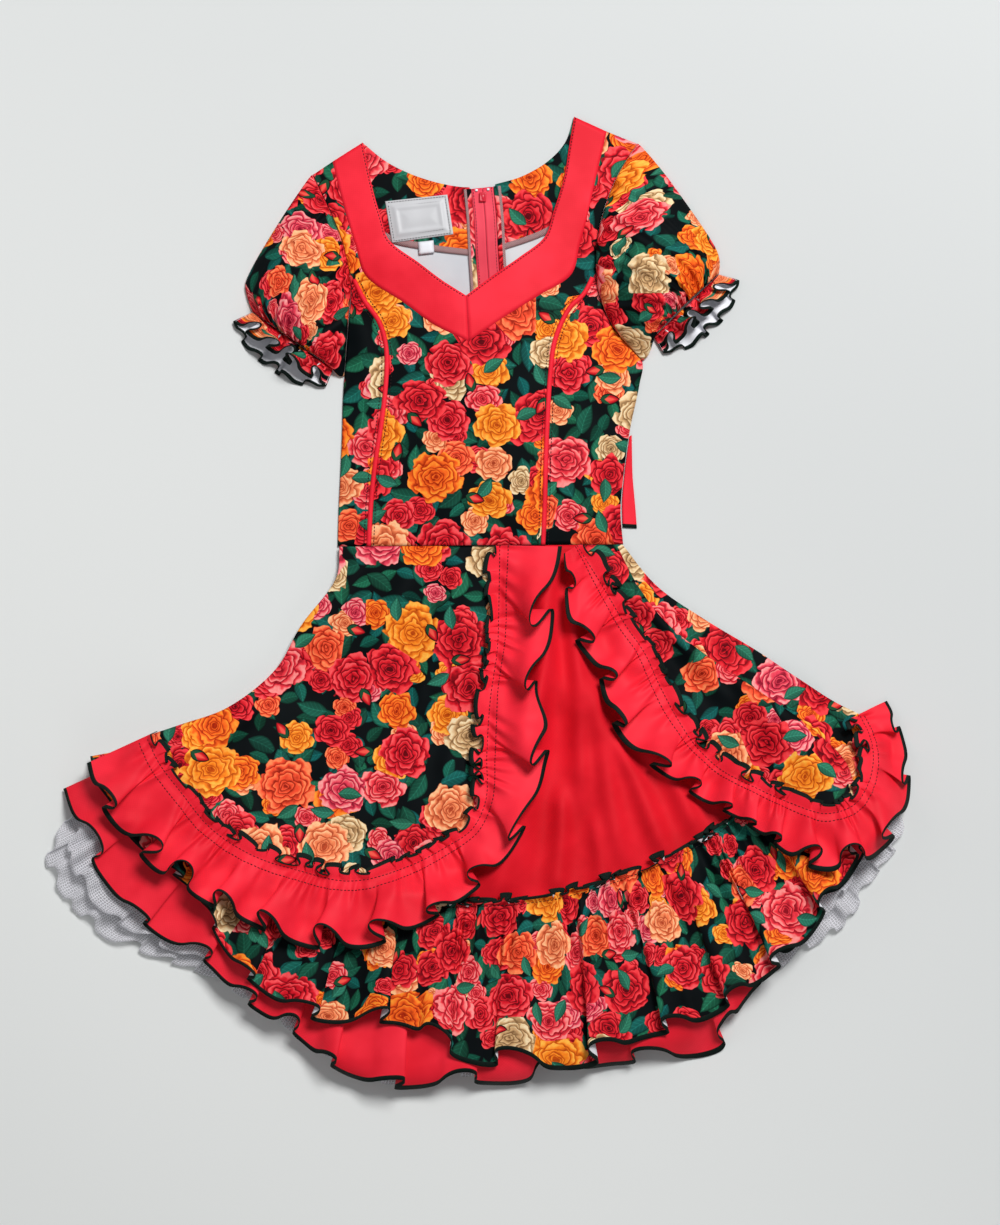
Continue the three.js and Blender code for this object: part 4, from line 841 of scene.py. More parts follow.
def leaf_layer():
    """Pointed leaves of one size: a mask and their colour with rib and veins."""
    t, i, give, tree = group("leaf_layer", [("Vector", "v", None), ("Spacing", "f", 0.03),
                                            ("Length", "f", 0.015), ("Shift", "v", None),
                                            ("Glow", "f", 0.0), ("Keep", "f", 1.0)],
                             [("Color", "c"), ("Mask", "f")])
    spot = t.vector("ADD", i["Vector"], i["Shift"])
    cells = t.put("ShaderNodeTexVoronoi", {"Vector": spot, "Scale": t.math("DIVIDE", 1.0, i["Spacing"]),
                                           "Randomness": 0.9}, voronoi_dimensions="2D")
    number, spin, third = t.split(cells.outputs["Color"])
    away = t.vector("SUBTRACT", spot, cells.outputs["Position"])
    turned = t.put("ShaderNodeVectorRotate", {"Vector": away, "Angle": t.math("MULTIPLY", spin, FULL_TURN)},
                   rotation_type="Z_AXIS").outputs[0]
    x, y, _ = t.split(turned)
    x = t.math("DIVIDE", x, i["Length"])
    y = t.math("DIVIDE", y, i["Length"])
    y = t.math("ADD", y, t.math("MULTIPLY", t.math("MULTIPLY", x, x), 0.12))
    half = t.math("MULTIPLY", t.math("SUBTRACT", 1.0, t.math("MULTIPLY", x, x)), 0.5)
    half = t.math("MULTIPLY", half, t.math("MAXIMUM", t.math("MULTIPLY_ADD", x, -0.25, 1.0), 0.3))
    side = t.math("ABSOLUTE", y)
    mask = t.steps(t.math("SUBTRACT", half, side), 0.0, 0.03)
    edge = t.steps(t.math("SUBTRACT", half, side), 0.02, 0.16, 0.35, 1.0)
    rib = t.steps(side, 0.015, 0.05, 1.6, 1.0)
    comb = t.math("FRACT", t.math("MULTIPLY", t.math("SUBTRACT", x, t.math("MULTIPLY", side, 0.9)), 3.6))
    veins = t.steps(t.math("ABSOLUTE", t.math("SUBTRACT", comb, 0.5)), 0.02, 0.16, 1.45, 1.0)
    near = t.steps(y, -0.3, 0.35, 0.65, 1.15)
    shade = t.math("MULTIPLY", t.math("MULTIPLY", edge, rib), t.math("MULTIPLY", veins, near))
    bright = t.blend(i["Glow"], t.ramp(number, LEAF_GREENS), (0.030, 0.185, 0.110, 1))
    dark = t.blend(1.0, bright, t.put("ShaderNodeCombineColor", {0: shade, 1: shade, 2: shade}).outputs[0],
                   mode="MULTIPLY")
    kept = t.math("LESS_THAN", third, i["Keep"])
    give(Color=dark, Mask=t.math("MULTIPLY", mask, kept))
    return tree


def bud_layer():
    """Red buds with two green sepals on a black ground."""
    t, i, give, tree = group("bud_layer", [("Vector", "v", None), ("Spacing", "f", 0.08),
                                           ("Length", "f", 0.011), ("Shift", "v", None)],
                             [("Color", "c"), ("Mask", "f")])
    spot = t.vector("ADD", i["Vector"], i["Shift"])
    cells = t.put("ShaderNodeTexVoronoi", {"Vector": spot, "Scale": t.math("DIVIDE", 1.0, i["Spacing"]),
                                           "Randomness": 0.85}, voronoi_dimensions="2D")
    _, spin, third = t.split(cells.outputs["Color"])
    away = t.vector("SUBTRACT", spot, cells.outputs["Position"])
    turned = t.put("ShaderNodeVectorRotate", {"Vector": away, "Angle": t.math("MULTIPLY", spin, FULL_TURN)},
                   rotation_type="Z_AXIS").outputs[0]
    x, y, _ = t.split(turned)
    x = t.math("DIVIDE", x, i["Length"])
    y = t.math("DIVIDE", y, i["Length"])
    round_off = t.math("MAXIMUM", t.math("SUBTRACT", 1.0, t.math("MULTIPLY", x, x)), 0.0)
    round_off = t.math("POWER", round_off, 0.7)
    half = t.math("MULTIPLY", round_off, t.math("MAXIMUM", t.math("MULTIPLY_ADD", x, -0.14, 0.50), 0.2))
    beyond = t.math("MAXIMUM", t.math("SUBTRACT", t.math("ABSOLUTE", x), 1.0), 0.0)
    gap = t.math("SUBTRACT", t.math("SUBTRACT", half, t.math("ABSOLUTE", y)), beyond)
    red = t.ramp(t.steps(gap, 0.0, 0.42, soft=False), BUD_REDS)
    cup = t.steps(t.math("SUBTRACT", t.math("MULTIPLY_ADD", t.math("ABSOLUTE", y), 1.3, -0.55), x), 0.0, 0.08)
    color = t.blend(cup, red, (0.012, 0.070, 0.030, 1))
    ring = t.steps(gap, -0.16, -0.10)
    body = t.steps(gap, -0.02, 0.02)
    color = t.blend(body, (0.004, 0.006, 0.006, 1), color)
    kept = t.math("LESS_THAN", third, 0.75)
    give(Color=color, Mask=t.math("MULTIPLY", ring, kept))
    return tree


THREADS = 1800.0                       # turn of a thread's wave in one metre of cloth, in radians
FINE_THREADS = 3600.0
TAPE_THREADS = 4200.0
SATIN_THREADS = 5200.0


def weave():
    """Height of a plain weave from the flat cloth, with a slow crinkle."""
    t, i, give, tree = group("weave", [("Vector", "v", None), ("Threads", "f", THREADS),
                                       ("Crinkle", "f", 0.4)], [("Height", "f")])
    x, y, _ = t.split(i["Vector"])
    warp = t.math("SINE", t.math("MULTIPLY", x, i["Threads"]))
    weft = t.math("SINE", t.math("MULTIPLY", y, i["Threads"]))
    over = t.math("MULTIPLY_ADD", t.math("MULTIPLY", warp, weft), 0.25, 0.5)
    slow = t.put("ShaderNodeTexNoise", {"Vector": i["Vector"], "Scale": 130.0, "Detail": 3.0}).outputs["Fac"]
    give(Height=t.math("ADD", t.math("MULTIPLY", over, 0.3), t.math("MULTIPLY", slow, i["Crinkle"])))
    return tree


RING = petal_ring()
ROSES = rose_layer(RING)
PAINT = petal_paint()
LEAVES = leaf_layer()
BUDS = bud_layer()
WEAVE = weave()


def finish(name, roughness, sheen=0.0, tint=(1, 1, 1), specular=0.5):
    """An empty cloth material with its shader: the tree, the shader and the flat-cloth coordinates."""
    material = bpy.data.materials.new(name)
    material.use_nodes = True
    t = Tree(material.node_tree)
    shader = material.node_tree.nodes["Principled BSDF"]
    shader.inputs["Roughness"].default_value = roughness
    shader.inputs["Sheen Weight"].default_value = sheen
    shader.inputs["Sheen Roughness"].default_value = 0.5
    shader.inputs["Sheen Tint"].default_value = (*tint, 1)
    shader.inputs["Specular IOR Level"].default_value = specular
    flat = t.put("ShaderNodeUVMap", uv_map="UVMap").outputs[0]
    return material, t, shader, flat


def link(t, value, shader, socket):
    t.tree.links.new(value, shader.inputs[socket])


def raise_cloth(t, shader, height, strength, depth=0.0004):
    node = t.put("ShaderNodeBump", {"Height": height, "Strength": strength, "Distance": depth})
    link(t, node.outputs[0], shader, "Normal")


def print_finish():
    """Flower print on fine smooth cloth: roses of three sizes, leaves and buds on black."""
    material, t, shader, flat = finish("flower_print", 0.66, specular=0.06)
    color = t.blend(t.put("ShaderNodeTexNoise", {"Vector": flat, "Scale": 30.0}).outputs["Fac"],
                    (0.0008, 0.001, 0.0015, 1), (0.003, 0.006, 0.007, 1))
    for spacing, length, shift, glow, keep in LEAF_LAYERS:
        leaf = use(t, LEAVES, Vector=flat, Spacing=spacing, Length=length, Shift=shift, Glow=glow, Keep=keep)
        color = t.blend(leaf["Mask"], color, leaf["Color"])
    for spacing, radius, shift, loose, keep in ROSE_LAYERS:
        rose = use(t, ROSES, Vector=flat, Spacing=spacing, Radius=radius, Shift=shift, Loose=loose, Keep=keep)
        paint = use(t, PAINT, Number=rose["Number"], Shade=rose["Shade"], Vector=flat)
        color = t.blend(rose["Mask"], color, paint["Color"])
    for layer, values in ((LEAVES, TOP_LEAVES), (BUDS, TOP_BUDS)):
        top = use(t, layer, Vector=flat, **values)
        color = t.blend(top["Mask"], color, top["Color"])
    link(t, color, shader, "Base Color")
    raise_cloth(t, shader, use(t, WEAVE, Vector=flat, Crinkle=0.6)["Height"], 0.25)
    return material


def plain_finish(name, deep, light, roughness, sheen, strength=0.3, crinkle=0.5, threads=THREADS,
                 specular=0.3):
    """Plain woven cloth with slightly uneven colour."""
    material, t, shader, flat = finish(name, roughness, sheen=sheen, tint=light, specular=specular)
    place = t.put("ShaderNodeTexCoord").outputs["Object"]
    slow = t.put("ShaderNodeTexNoise", {"Vector": place, "Scale": 14.0, "Detail": 3.0}).outputs["Fac"]
    x, y, _ = t.split(flat)
    fine = t.math("MULTIPLY", t.math("SINE", t.math("MULTIPLY", x, threads)),
                  t.math("SINE", t.math("MULTIPLY", y, threads)))
    share = t.math("ADD", t.steps(slow, 0.3, 0.7), t.math("MULTIPLY", fine, 0.12), clamp=True)
    link(t, t.blend(share, (*deep, 1), (*light, 1)), shader, "Base Color")
    raise_cloth(t, shader, use(t, WEAVE, Vector=flat, Crinkle=crinkle, Threads=threads)["Height"], strength)
    return material


def overlock_finish(name, deep, light, turns=5200.0):
    """Close thread wound over an edge."""
    material, t, shader, flat = finish(name, 0.65, specular=0.15)
    place = t.put("ShaderNodeTexCoord").outputs["Object"]
    x, y, z = t.split(place)
    run = t.math("ADD", t.math("ADD", x, y), t.math("MULTIPLY", z, 0.7))
    thread = t.math("MULTIPLY_ADD", t.math("SINE", t.math("MULTIPLY", run, turns)), 0.5, 0.5)
    stray = t.put("ShaderNodeTexNoise", {"Vector": place, "Scale": 900.0, "Detail": 2.0}).outputs["Fac"]
    share = t.math("MULTIPLY", t.math("ADD", thread, stray), 0.5)
    link(t, t.blend(share, (*deep, 1), (*light, 1)), shader, "Base Color")
    raise_cloth(t, shader, share, 0.6, 0.0006)
    return material


def net_finish():
    """White net: small holes between fine threads, seen as a soft veil."""
    material, t, shader, flat = finish("white_net", 0.75, sheen=0.2)
    cells = t.put("ShaderNodeTexVoronoi", {"Vector": flat, "Scale": 380.0, "Randomness": 0.35},
                  voronoi_dimensions="2D", feature="DISTANCE_TO_EDGE").outputs["Distance"]
    thread = t.steps(cells, 0.06, 0.20, 1.0, 0.0)
    slow = t.put("ShaderNodeTexNoise", {"Vector": flat, "Scale": 22.0, "Detail": 2.0}).outputs["Fac"]
    color = t.blend(t.math("MULTIPLY", slow, 0.8), (0.84, 0.83, 0.87, 1), (0.60, 0.59, 0.63, 1))
    link(t, color, shader, "Base Color")
    link(t, t.math("MULTIPLY_ADD", thread, 0.70, 0.26, clamp=True), shader, "Alpha")
    raise_cloth(t, shader, thread, 0.5, 0.0005)
    return material


def satin_finish():
    """Pale grey satin of the label."""
    material, t, shader, flat = finish("label_satin", 0.38, sheen=0.1)
    x, y, _ = t.split(flat)
    line = t.math("MULTIPLY_ADD", t.math("SINE", t.math("MULTIPLY", y, SATIN_THREADS)), 0.5, 0.5)
    link(t, t.blend(line, (0.50, 0.50, 0.515, 1), (0.56, 0.56, 0.575, 1)), shader, "Base Color")
    raise_cloth(t, shader, line, 0.25, 0.0003)
    return material


def thread_finish(name, color):
    """Sewing thread: two strands twisted together."""
    material, t, shader, flat = finish(name, 0.55, sheen=0.03, specular=0.2)
    place = t.put("ShaderNodeTexCoord").outputs["Object"]
    twist = t.put("ShaderNodeTexNoise", {"Vector": place, "Scale": 1500.0}).outputs["Fac"]
    low = tuple(v * 0.6 for v in color)
    link(t, t.blend(twist, (*low, 1), (*color, 1)), shader, "Base Color")
    raise_cloth(t, shader, twist, 0.4, 0.0003)
    return material


def floor_finish():
    """Pale grey floor, painted darker towards the upper right: painted shade against the key lamp's light
    there.
    """
    material = bpy.data.materials.new("pale_floor")
    material.use_nodes = True
    t = Tree(material.node_tree)
    shader = material.node_tree.nodes["Principled BSDF"]
    shader.inputs["Roughness"].default_value = 0.9
    shader.inputs["Specular IOR Level"].default_value = 0.1
    place = t.put("ShaderNodeTexCoord").outputs["Object"]
    slow = t.put("ShaderNodeTexNoise", {"Vector": place, "Scale": 1.2, "Detail": 1.0}).outputs["Fac"]
    x, y, _ = t.split(place)
    # Painted shade: the floor's colour darkens towards the upper right, where the key lamp lights it most.
    right = t.steps(t.math("MULTIPLY_ADD", y, 0.9, x), -0.9, 0.9)
    pale = t.blend(right, (0.75, 0.765, 0.75, 1), (0.62, 0.635, 0.63, 1))
    grey = t.blend(right, (0.78, 0.79, 0.775, 1), (0.65, 0.665, 0.66, 1))
    link(t, t.blend(slow, pale, grey), shader, "Base Color")
    return material


PRINT = print_finish()
CORAL = plain_finish("coral_crepe", (0.76, 0.010, 0.026), (0.94, 0.022, 0.046), 0.62, 0.05, specular=0.18)
# The same coral crepe painted darker: painted shade on the outside of the skirt front panel.
CORAL_PAINTED_SHADE = plain_finish("coral_crepe_painted_shade", (0.60, 0.004, 0.012), (0.78, 0.009, 0.022), 0.66, 0.03,
                            specular=0.12)
LINING = plain_finish("print_reverse", (0.56, 0.57, 0.60), (0.66, 0.67, 0.69), 0.7, 0.1)
# The reverse of the print again, painted lighter: painted light on the shaded insides of the cuffs and the
# flounce.
REVERSE_PAINTED_LIGHT = plain_finish("frill_reverse_painted_light", (0.74, 0.74, 0.78), (0.84, 0.84, 0.88), 0.7, 0.1)
BINDING = plain_finish("white_binding", (0.74, 0.74, 0.79), (0.86, 0.86, 0.90), 0.5, 0.15,
                       threads=FINE_THREADS)
TAPE = plain_finish("zip_tape_red", (0.70, 0.034, 0.066), (0.86, 0.060, 0.100), 0.6, 0.1, strength=0.5,
                    crinkle=0.2, threads=TAPE_THREADS)
OVERLOCK = overlock_finish("overlock_black", (0.0006, 0.0020, 0.0015), (0.005, 0.017, 0.012))
OVERLOCK_MIXED = overlock_finish("overlock_mixed", (0.012, 0.012, 0.012), (0.66, 0.38, 0.38), turns=2600.0)
NET = net_finish()
SATIN = satin_finish()
DARK_THREAD = thread_finish("dark_thread", (0.020, 0.006, 0.008))
GREY_THREAD = thread_finish("grey_thread", (0.20, 0.19, 0.20))
METAL_RED = plain_finish("zip_enamel", (0.52, 0.012, 0.03), (0.66, 0.02, 0.045), 0.3, 0.0, strength=0.05,
                         crinkle=0.1)
PRINTED = [PRINT, LINING, OVERLOCK]    # outside, inside and edge
CORAL_CUT = [CORAL, CORAL, OVERLOCK]


# Bodice
def sway(table, size=24.0):
    """A table column by height, with its corners rounded off."""
    y = np.arange(40.0, 600.0, 2.0)
    rows = np.array(table, float)
    n = int(size / 2)
    out = []
    for k in range(1, rows.shape[1]):
        value = np.interp(y, rows[:, 0], rows[:, k])
        out.append(np.convolve(np.pad(value, n, mode="edge"), np.ones(2 * n + 1) / (2 * n + 1), mode="valid"))
    return y, out


CROWN_Y, CROWN_COLUMNS = sway(CROWN)


def crown(plan):
    x, y = plan[..., 0], plan[..., 1]
    left, right, rise = [np.interp(y, CROWN_Y, column) for column in CROWN_COLUMNS]
    across = np.minimum(1, np.abs((x - (left + right) / 2) / ((right - left) / 2)))
    return rise * (1 - across**2.6)


BODICE_CREASES = [   # from x, y to x, y, then width and height
    (-142, 330, -128, 250, 10, 2.9), (-150, 262, -122, 240, 8, 2.2), (-70, 250, -40, 120, 16, 2.5),
    (20, 240, 30, 110, 15, 2.2), (150, 300, 112, 250, 9, 2.9), (120, 320, 96, 268, 8, 2.2),
    (-20, 300, -2, 220, 12, 1.8), (-145, 120, -140, 200, 9, 1.8), (130, 210, 120, 110, 11, 2.2),
    (-100, 110, -60, 90, 8, 1.8), (40, 96, 100, 88, 8, 1.6), (-162, 440, -150, 400, 7, 1.8),
    (132, 470, 124, 430, 7, 1.8),
]


PUCKER_REACH = 7
PUCKER_SIZE = 13
PUCKER_HEIGHT = 0.7


def pucker(plan, line):
    """Small puckers across a seam, within reach of it."""
    spots = line.dense
    flat = plan.reshape(-1, 2)
    best = np.full(len(flat), 1e9)
    run = np.zeros(len(flat))
    for i in range(0, len(spots), 3):
        d = np.hypot(flat[:, 0] - spots[i, 0], flat[:, 1] - spots[i, 1])
        near = d < best
        best = np.where(near, d, best)
        run = np.where(near, line.run[i] * line.length, run)
    wave = bump(run / PUCKER_SIZE + 0.4 * np.sin(run / 31)) * (0.5 + 0.5 * np.sin(run / 47 + 1) ** 2)
    return (PUCKER_HEIGHT * wave * np.exp(-((best / PUCKER_REACH) ** 2))).reshape(plan.shape[:2])


def whole(*lists):
    """Several lines of points as one, without the points that repeat."""
    out = []
    for p in [p for points in lists for p in points]:
        if not out or math.dist(p, out[-1]) > 1:
            out.append(p)
    return out


SIDES = {
    "left": (SHOULDER_LEFT, ARMHOLE_LEFT, SIDE_LEFT, BAND_OUTER_LEFT, BAND_INNER_LEFT, PRINCESS_LEFT,
             NECK_BACK_LEFT),
    "right": (SHOULDER_RIGHT, ARMHOLE_RIGHT, SIDE_RIGHT, BAND_OUTER_RIGHT, BAND_INNER_RIGHT, PRINCESS_RIGHT,
              NECK_BACK_RIGHT),
}


def level(plan, z):
    return np.dstack([plan, np.full(plan.shape[:2], z)])


def strip(line, start, stop, rows, columns):
    """A strip beside a line, between two distances to its left."""
    path = curve(line)
    t = np.linspace(0, 1, rows + 1)
    along = path(t + 0.01) - path(t - 0.01)
    along /= np.hypot(along[:, 0], along[:, 1])[:, None]
    out = np.linspace(start, stop, columns + 1)
    normal = np.stack([-along[:, 1], along[:, 0]], -1)
    return path(t)[:, None] + normal[:, None] * out[None, :, None]


def make_bodice_back(pile):
    for side, (_, armhole, seam, _, _, _, neck) in SIDES.items():
        outer = armhole + seam[1:]
        plan = panel(26, 64, Corners(armhole[0], neck[0]), curve(whole(neck, ZIP_LINE)),
                     Corners(seam[-1], ZIP_LINE[-1]), curve(outer))
        points = level(plan, 0.0)
        pile.add(plan, points[..., 2] + WALL)
        cloth(f"back_{side}", [(points, turn_flat(plan, "back"), no_edge(plan))], PRINTED, "print",
              [f"bodice_back_{side}"], facing="down")


INNER_SEAT = 1.4                       # height of the back's inner side
TAPE_SPAN = (0.2, 13)                  # distances from the middle of the zip
TURNED_SPAN = (13.1, 21.5)
ZIP_SEAM_SPAN = (10.6, 10.7)
ZIP_FOOT = (17.8, 72)
TEETH_HEIGHT = 0.35
TEETH_REACH = 2.5
FACING_CREASES = [   # from x, y to x, y, then width and height
    (-100, 500, -90, 440, 6, 0.7), (60, 500, 70, 440, 6, 0.7),
]


def four_sided(columns, rows, corners):
    a, b, c, d = corners
    return panel(columns, rows, Corners(a, b), Corners(b, c), Corners(d, c), Corners(a, d))


def make_zip(pile):
    """The two tapes over the closed teeth, the printed edges turned back beside them, and their seams."""
    low = ZIP_LINE[:-1] + [ZIP_FOOT]
    seams = []
    for side, right in (("right", True), ("left", False)):

        def span(near, far, right=right):
            return (near, far) if right else (-far, -near)

        plan = strip(low, *span(*TAPE_SPAN), 60, 6)
        points = level(plan, INNER_SEAT + 1.0)
        away = np.linspace(*span(*TAPE_SPAN), 7)[None, :]
        points[..., 2] += TEETH_HEIGHT * np.exp(-((away / TEETH_REACH) ** 2))
        pile.add(plan, points[..., 2])
        cloth(f"zip_tape_woven_{side}", [(points, plan, no_edge(plan))], [TAPE] * 3, "zip",
              [f"zip_tape_{side}"])
        turned = strip(low, *span(*TURNED_SPAN), 90, 8)
        away = np.abs(np.linspace(*span(*TURNED_SPAN), 9))[None, :]
        points = level(turned, INNER_SEAT + 1.6)
        points[..., 2] += 0.95 * smooth((away - TURNED_SPAN[0]) / 1.3) + wander(turned, 0.5, 30, 6)
        pile.add(turned, points[..., 2])
        mask = no_edge(turned)
        mask[:, -3:] = right
        mask[:, :3] = not right
        cloth(f"turned_edge_{side}", [(points, turn_flat(turned, "turned_edge"), mask)],
              [PRINT, LINING, OVERLOCK_MIXED], "print", [])
        seams.append(strip(low, *span(*ZIP_SEAM_SPAN), 200, 1)[:, 0])
    seams = [np.column_stack([seam, np.full(len(seam), INNER_SEAT + 1.1)]) for seam in seams]
    stitches("zip_stitches", seams, DARK_THREAD, 2.8, 0.9, 0.36)


def make_facings(pile):
    for side, neck, bottom in (("left", NECK_BACK_LEFT, FACING_LOW_LEFT),
                               ("right", NECK_BACK_RIGHT, FACING_LOW_RIGHT)):
        corner = FACING_CORNERS[side]
        top = neck[:-1] + [corner]
        plan = panel(40, 22, curve(top), Corners(corner, bottom[-1]), curve(bottom),
                     Corners(top[0], bottom[0]))
        points = level(plan, INNER_SEAT + 1.0)
        points[..., 2] += wander(plan, 0.5, 40, 3) + creases(plan, FACING_CREASES)
        pile.add(plan, points[..., 2])
        mask = no_edge(plan)
        mask[-2:] = True
        cloth(f"facing_{side}", [(points, turn_flat(plan, "facing"), mask)], [PRINT, LINING, OVERLOCK_MIXED],
              "print", [f"neck_facing_{side}"])


def make_label(pile):
    """The label with its raised border, and the size tag that hangs out under it."""
    label = four_sided(48, 34, LABEL_CORNERS)
    tag = four_sided(6, 6, TAG_CORNERS)
    over = pile.over(4, 6)
    for name, plan, finishes, slot, node in (("size_tag_woven", tag, [BINDING] * 3, "net", "size_tag"),
                                             ("label_satin", label, [SATIN] * 3, "label", "label")):
        across = np.linspace(0, 1, plan.shape[1])[None, :]
        down = np.linspace(0, 1, plan.shape[0])[:, None]
        inner = np.minimum(np.minimum(across, 1 - across) * 1.4, np.minimum(down, 1 - down))
        border = 1.1 * np.exp(-(((inner - 0.19) / 0.06) ** 2))
        points = np.dstack([plan, over(plan) + GAP + 0.5 + border + 1.6 * smooth(inner / 0.5)])
        cloth(name, [(points, plan, no_edge(plan))], finishes, slot, [node],
              wall=0.5)
        if name == "label_satin":
            corners = [points[0, 0], points[0, -1], points[-1, -1], points[-1, 0], points[0, 0]]
            middle = points.reshape(-1, 3).mean(0)
            rows = [[mix(p, middle, inset) + np.array([0, 0, 0.4]) for p in corners]
                    for inset in (0.08, 0.30)]
            stitches("label_stitches", rows, GREY_THREAD, 2.4, 0.9, 0.4)
        pile.add(plan, points[..., 2])


STITCH_RINGS = [   # share of the length, width and rise in sizes of the thread
    (0.0, 0.3, -0.4), (0.25, 1.0, 0.35), (0.75, 1.0, 0.35), (1.0, 0.3, -0.4),
]


def stitches(name, paths, thread, length, gap, size):
    """A row of sewn stitches along each path, one small closed body for each stitch."""
    verts, faces = [], []
    for path in paths:
        path = np.array(path, float)
        run = np.concatenate([[0], np.cumsum(np.linalg.norm(np.diff(path, axis=0), axis=1))])
        count = int(run[-1] // (length + gap))
        for k in range(count):
            at = [k * (length + gap) + length * share for share, _, _ in STITCH_RINGS]
            spots = np.array([[np.interp(a, run, path[:, axis]) for axis in range(3)] for a in at])
            along = spots[-1] - spots[0]
            along /= max(1e-6, np.linalg.norm(along))
            side = np.cross(along, [0, 0, 1.0])
            side /= max(1e-6, np.linalg.norm(side))
            up = np.cross(side, along)
            first = len(verts)
            for spot, (_, width, rise) in zip(spots, STITCH_RINGS):
                centre = spot + up * size * rise
                for c, s in ((1, 0), (0, 1), (-1, 0), (0, -1)):
                    verts.append(centre + (side * c + up * s * 0.7) * size * width)
            for r in range(3):
                for q in range(4):
                    a, b = first + 4 * r + q, first + 4 * r + (q + 1) % 4
                    faces.append((a, b, b + 4, a + 4))
            faces.append((first + 3, first + 2, first + 1, first))
            faces.append((first + 12, first + 13, first + 14, first + 15))
    mesh = bpy.data.meshes.new(name)
    mesh.from_pydata([tuple((v + MIDDLE) * MM) for v in np.array(verts)], [], faces)
    mesh.uv_layers.new(name="UVMap")
    mesh.polygons.foreach_set("use_smooth", np.ones(len(faces), bool))
    mesh.materials.append(thread)
    piece = bpy.data.objects.new(name, mesh)
    bpy.context.collection.objects.link(piece)
    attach(piece, "root")
    return piece


PIPING_HALF = 2.85
PIPING_ROUND = 2.0                     # rise of the cord over its edges
PIPING_FLAT = (7.5, 330)               # width and length of its cloth
STITCH_OFF = 5.6                       # distance of the topstitching from the seam


def make_bodice_front(pile):
    over = pile.over(18, 15)

    def height(plan):
        folds = creases(plan, BODICE_CREASES) + wander(plan, 0.9, 70, 5)
        return over(plan) + GAP + crown(plan) + folds + WALL

    centre = []
    seams = []
    for side, (shoulder, armhole, seam, outer, inner, princess, _) in SIDES.items():
        level_point = princess[PRINCESS_AT_V]
        start = [p[1] for p in armhole].index(princess[0][1])
        strap = panel(14, 50, Corners(shoulder[0], shoulder[1]), curve(outer), Corners(level_point, V_POINT),
                      curve(armhole[:start] + princess[:PRINCESS_AT_V + 1]))
        centre.append(strap)
        corner = tuple(mix(np.array(princess[0]), np.array(armhole[start + 1]), 0.12))
        side_panel = panel(18, 64, Corners(corner, princess[0]), curve(princess),
                           Corners(seam[-1], princess[-1]),
                           curve([corner] + armhole[start + 1:] + seam[1:]))
        band = panel(10, 50, Corners(shoulder[1], shoulder[2]), curve(inner), Corners(V_POINT, inner[-1]),
                     curve(outer))
        seam_line = curve(princess)
        for name, plan, finishes, slot, node in (("front", side_panel, PRINTED, "print", "bodice_front"),
                                                 ("band", band, CORAL_CUT, "coral", "neck_band")):
            z = height(plan) + pucker(plan, seam_line) * (slot == "print")
            cloth(f"{name}_{side}", [(np.dstack([plan, z]), turn_flat(plan, name), no_edge(plan))], finishes,
                  slot, [f"{node}_{side}"])
            if slot == "coral":
                rail = mix(plan[:, -1], plan[:, -2], 0.5)
                seams.append(np.column_stack([rail, height(rail[:, None])[:, 0] + 0.1]))
        begin = tuple(mix(np.array(princess[0]), np.array(princess[1]), 0.25))
        cord = strip([begin] + princess[1:], -PIPING_HALF, PIPING_HALF, 90, 8)
        ridge = np.sin(np.linspace(0, np.pi, 9)) ** 0.7
        z = height(cord) + 0.3 + PIPING_ROUND * ridge[None, :]
        width, length = PIPING_FLAT
        flat = np.dstack([np.linspace(0, width, 9)[None, :].repeat(91, 0),
                          np.linspace(0, length, 91)[:, None].repeat(9, 1)])
        cloth(f"piping_cord_{side}", [(np.dstack([cord, z]), flat, no_edge(cord))], [CORAL] * 3, "coral",
              [f"piping_{side}"], wall=0.8)
        for off in (-STITCH_OFF, STITCH_OFF):
            rail = strip([begin] + princess[1:], off, off + 0.1, 120, 1)[:, 0]
            z = height(rail[:, None])[:, 0] + pucker(rail[:, None], seam_line)[:, 0]
            seams.append(np.column_stack([rail, z + 0.25]))
    left, right = [SIDES[side][5] for side in ("left", "right")]
    body = panel(28, 56, Corners(left[PRINCESS_AT_V], V_POINT, right[PRINCESS_AT_V]),
                 curve(right[PRINCESS_AT_V:]), Corners(on_waist(-128), on_waist(-23), on_waist(74)),
                 curve(left[PRINCESS_AT_V:]))
    grids = []
    lines = [curve(left), curve(right)]
    for plan in centre + [body]:
        z = height(plan) + sum(pucker(plan, line) for line in lines)
        grids.append((np.dstack([plan, z]), turn_flat(plan, "front_centre"), no_edge(plan)))
    cloth("front_centre", grids, PRINTED, "print", ["bodice_front_centre"])
    stitches("bodice_topstitching", seams, DARK_THREAD, 2.8, 1.1, 0.48)


def make_sash():
    plan = panel(6, 24, Corners(*SASH["top"]), curve(SASH["right"]), Corners(*SASH["bottom"]),
                 curve(SASH["left"]))
    mask = no_edge(plan)
    mask[-1] = True
    z = 1.2 + wander(plan, 1.2, 30, 8)
    cloth("sash_ribbon", [(np.dstack([plan, z]), plan, mask)], CORAL_CUT, "coral", ["sash_end"])


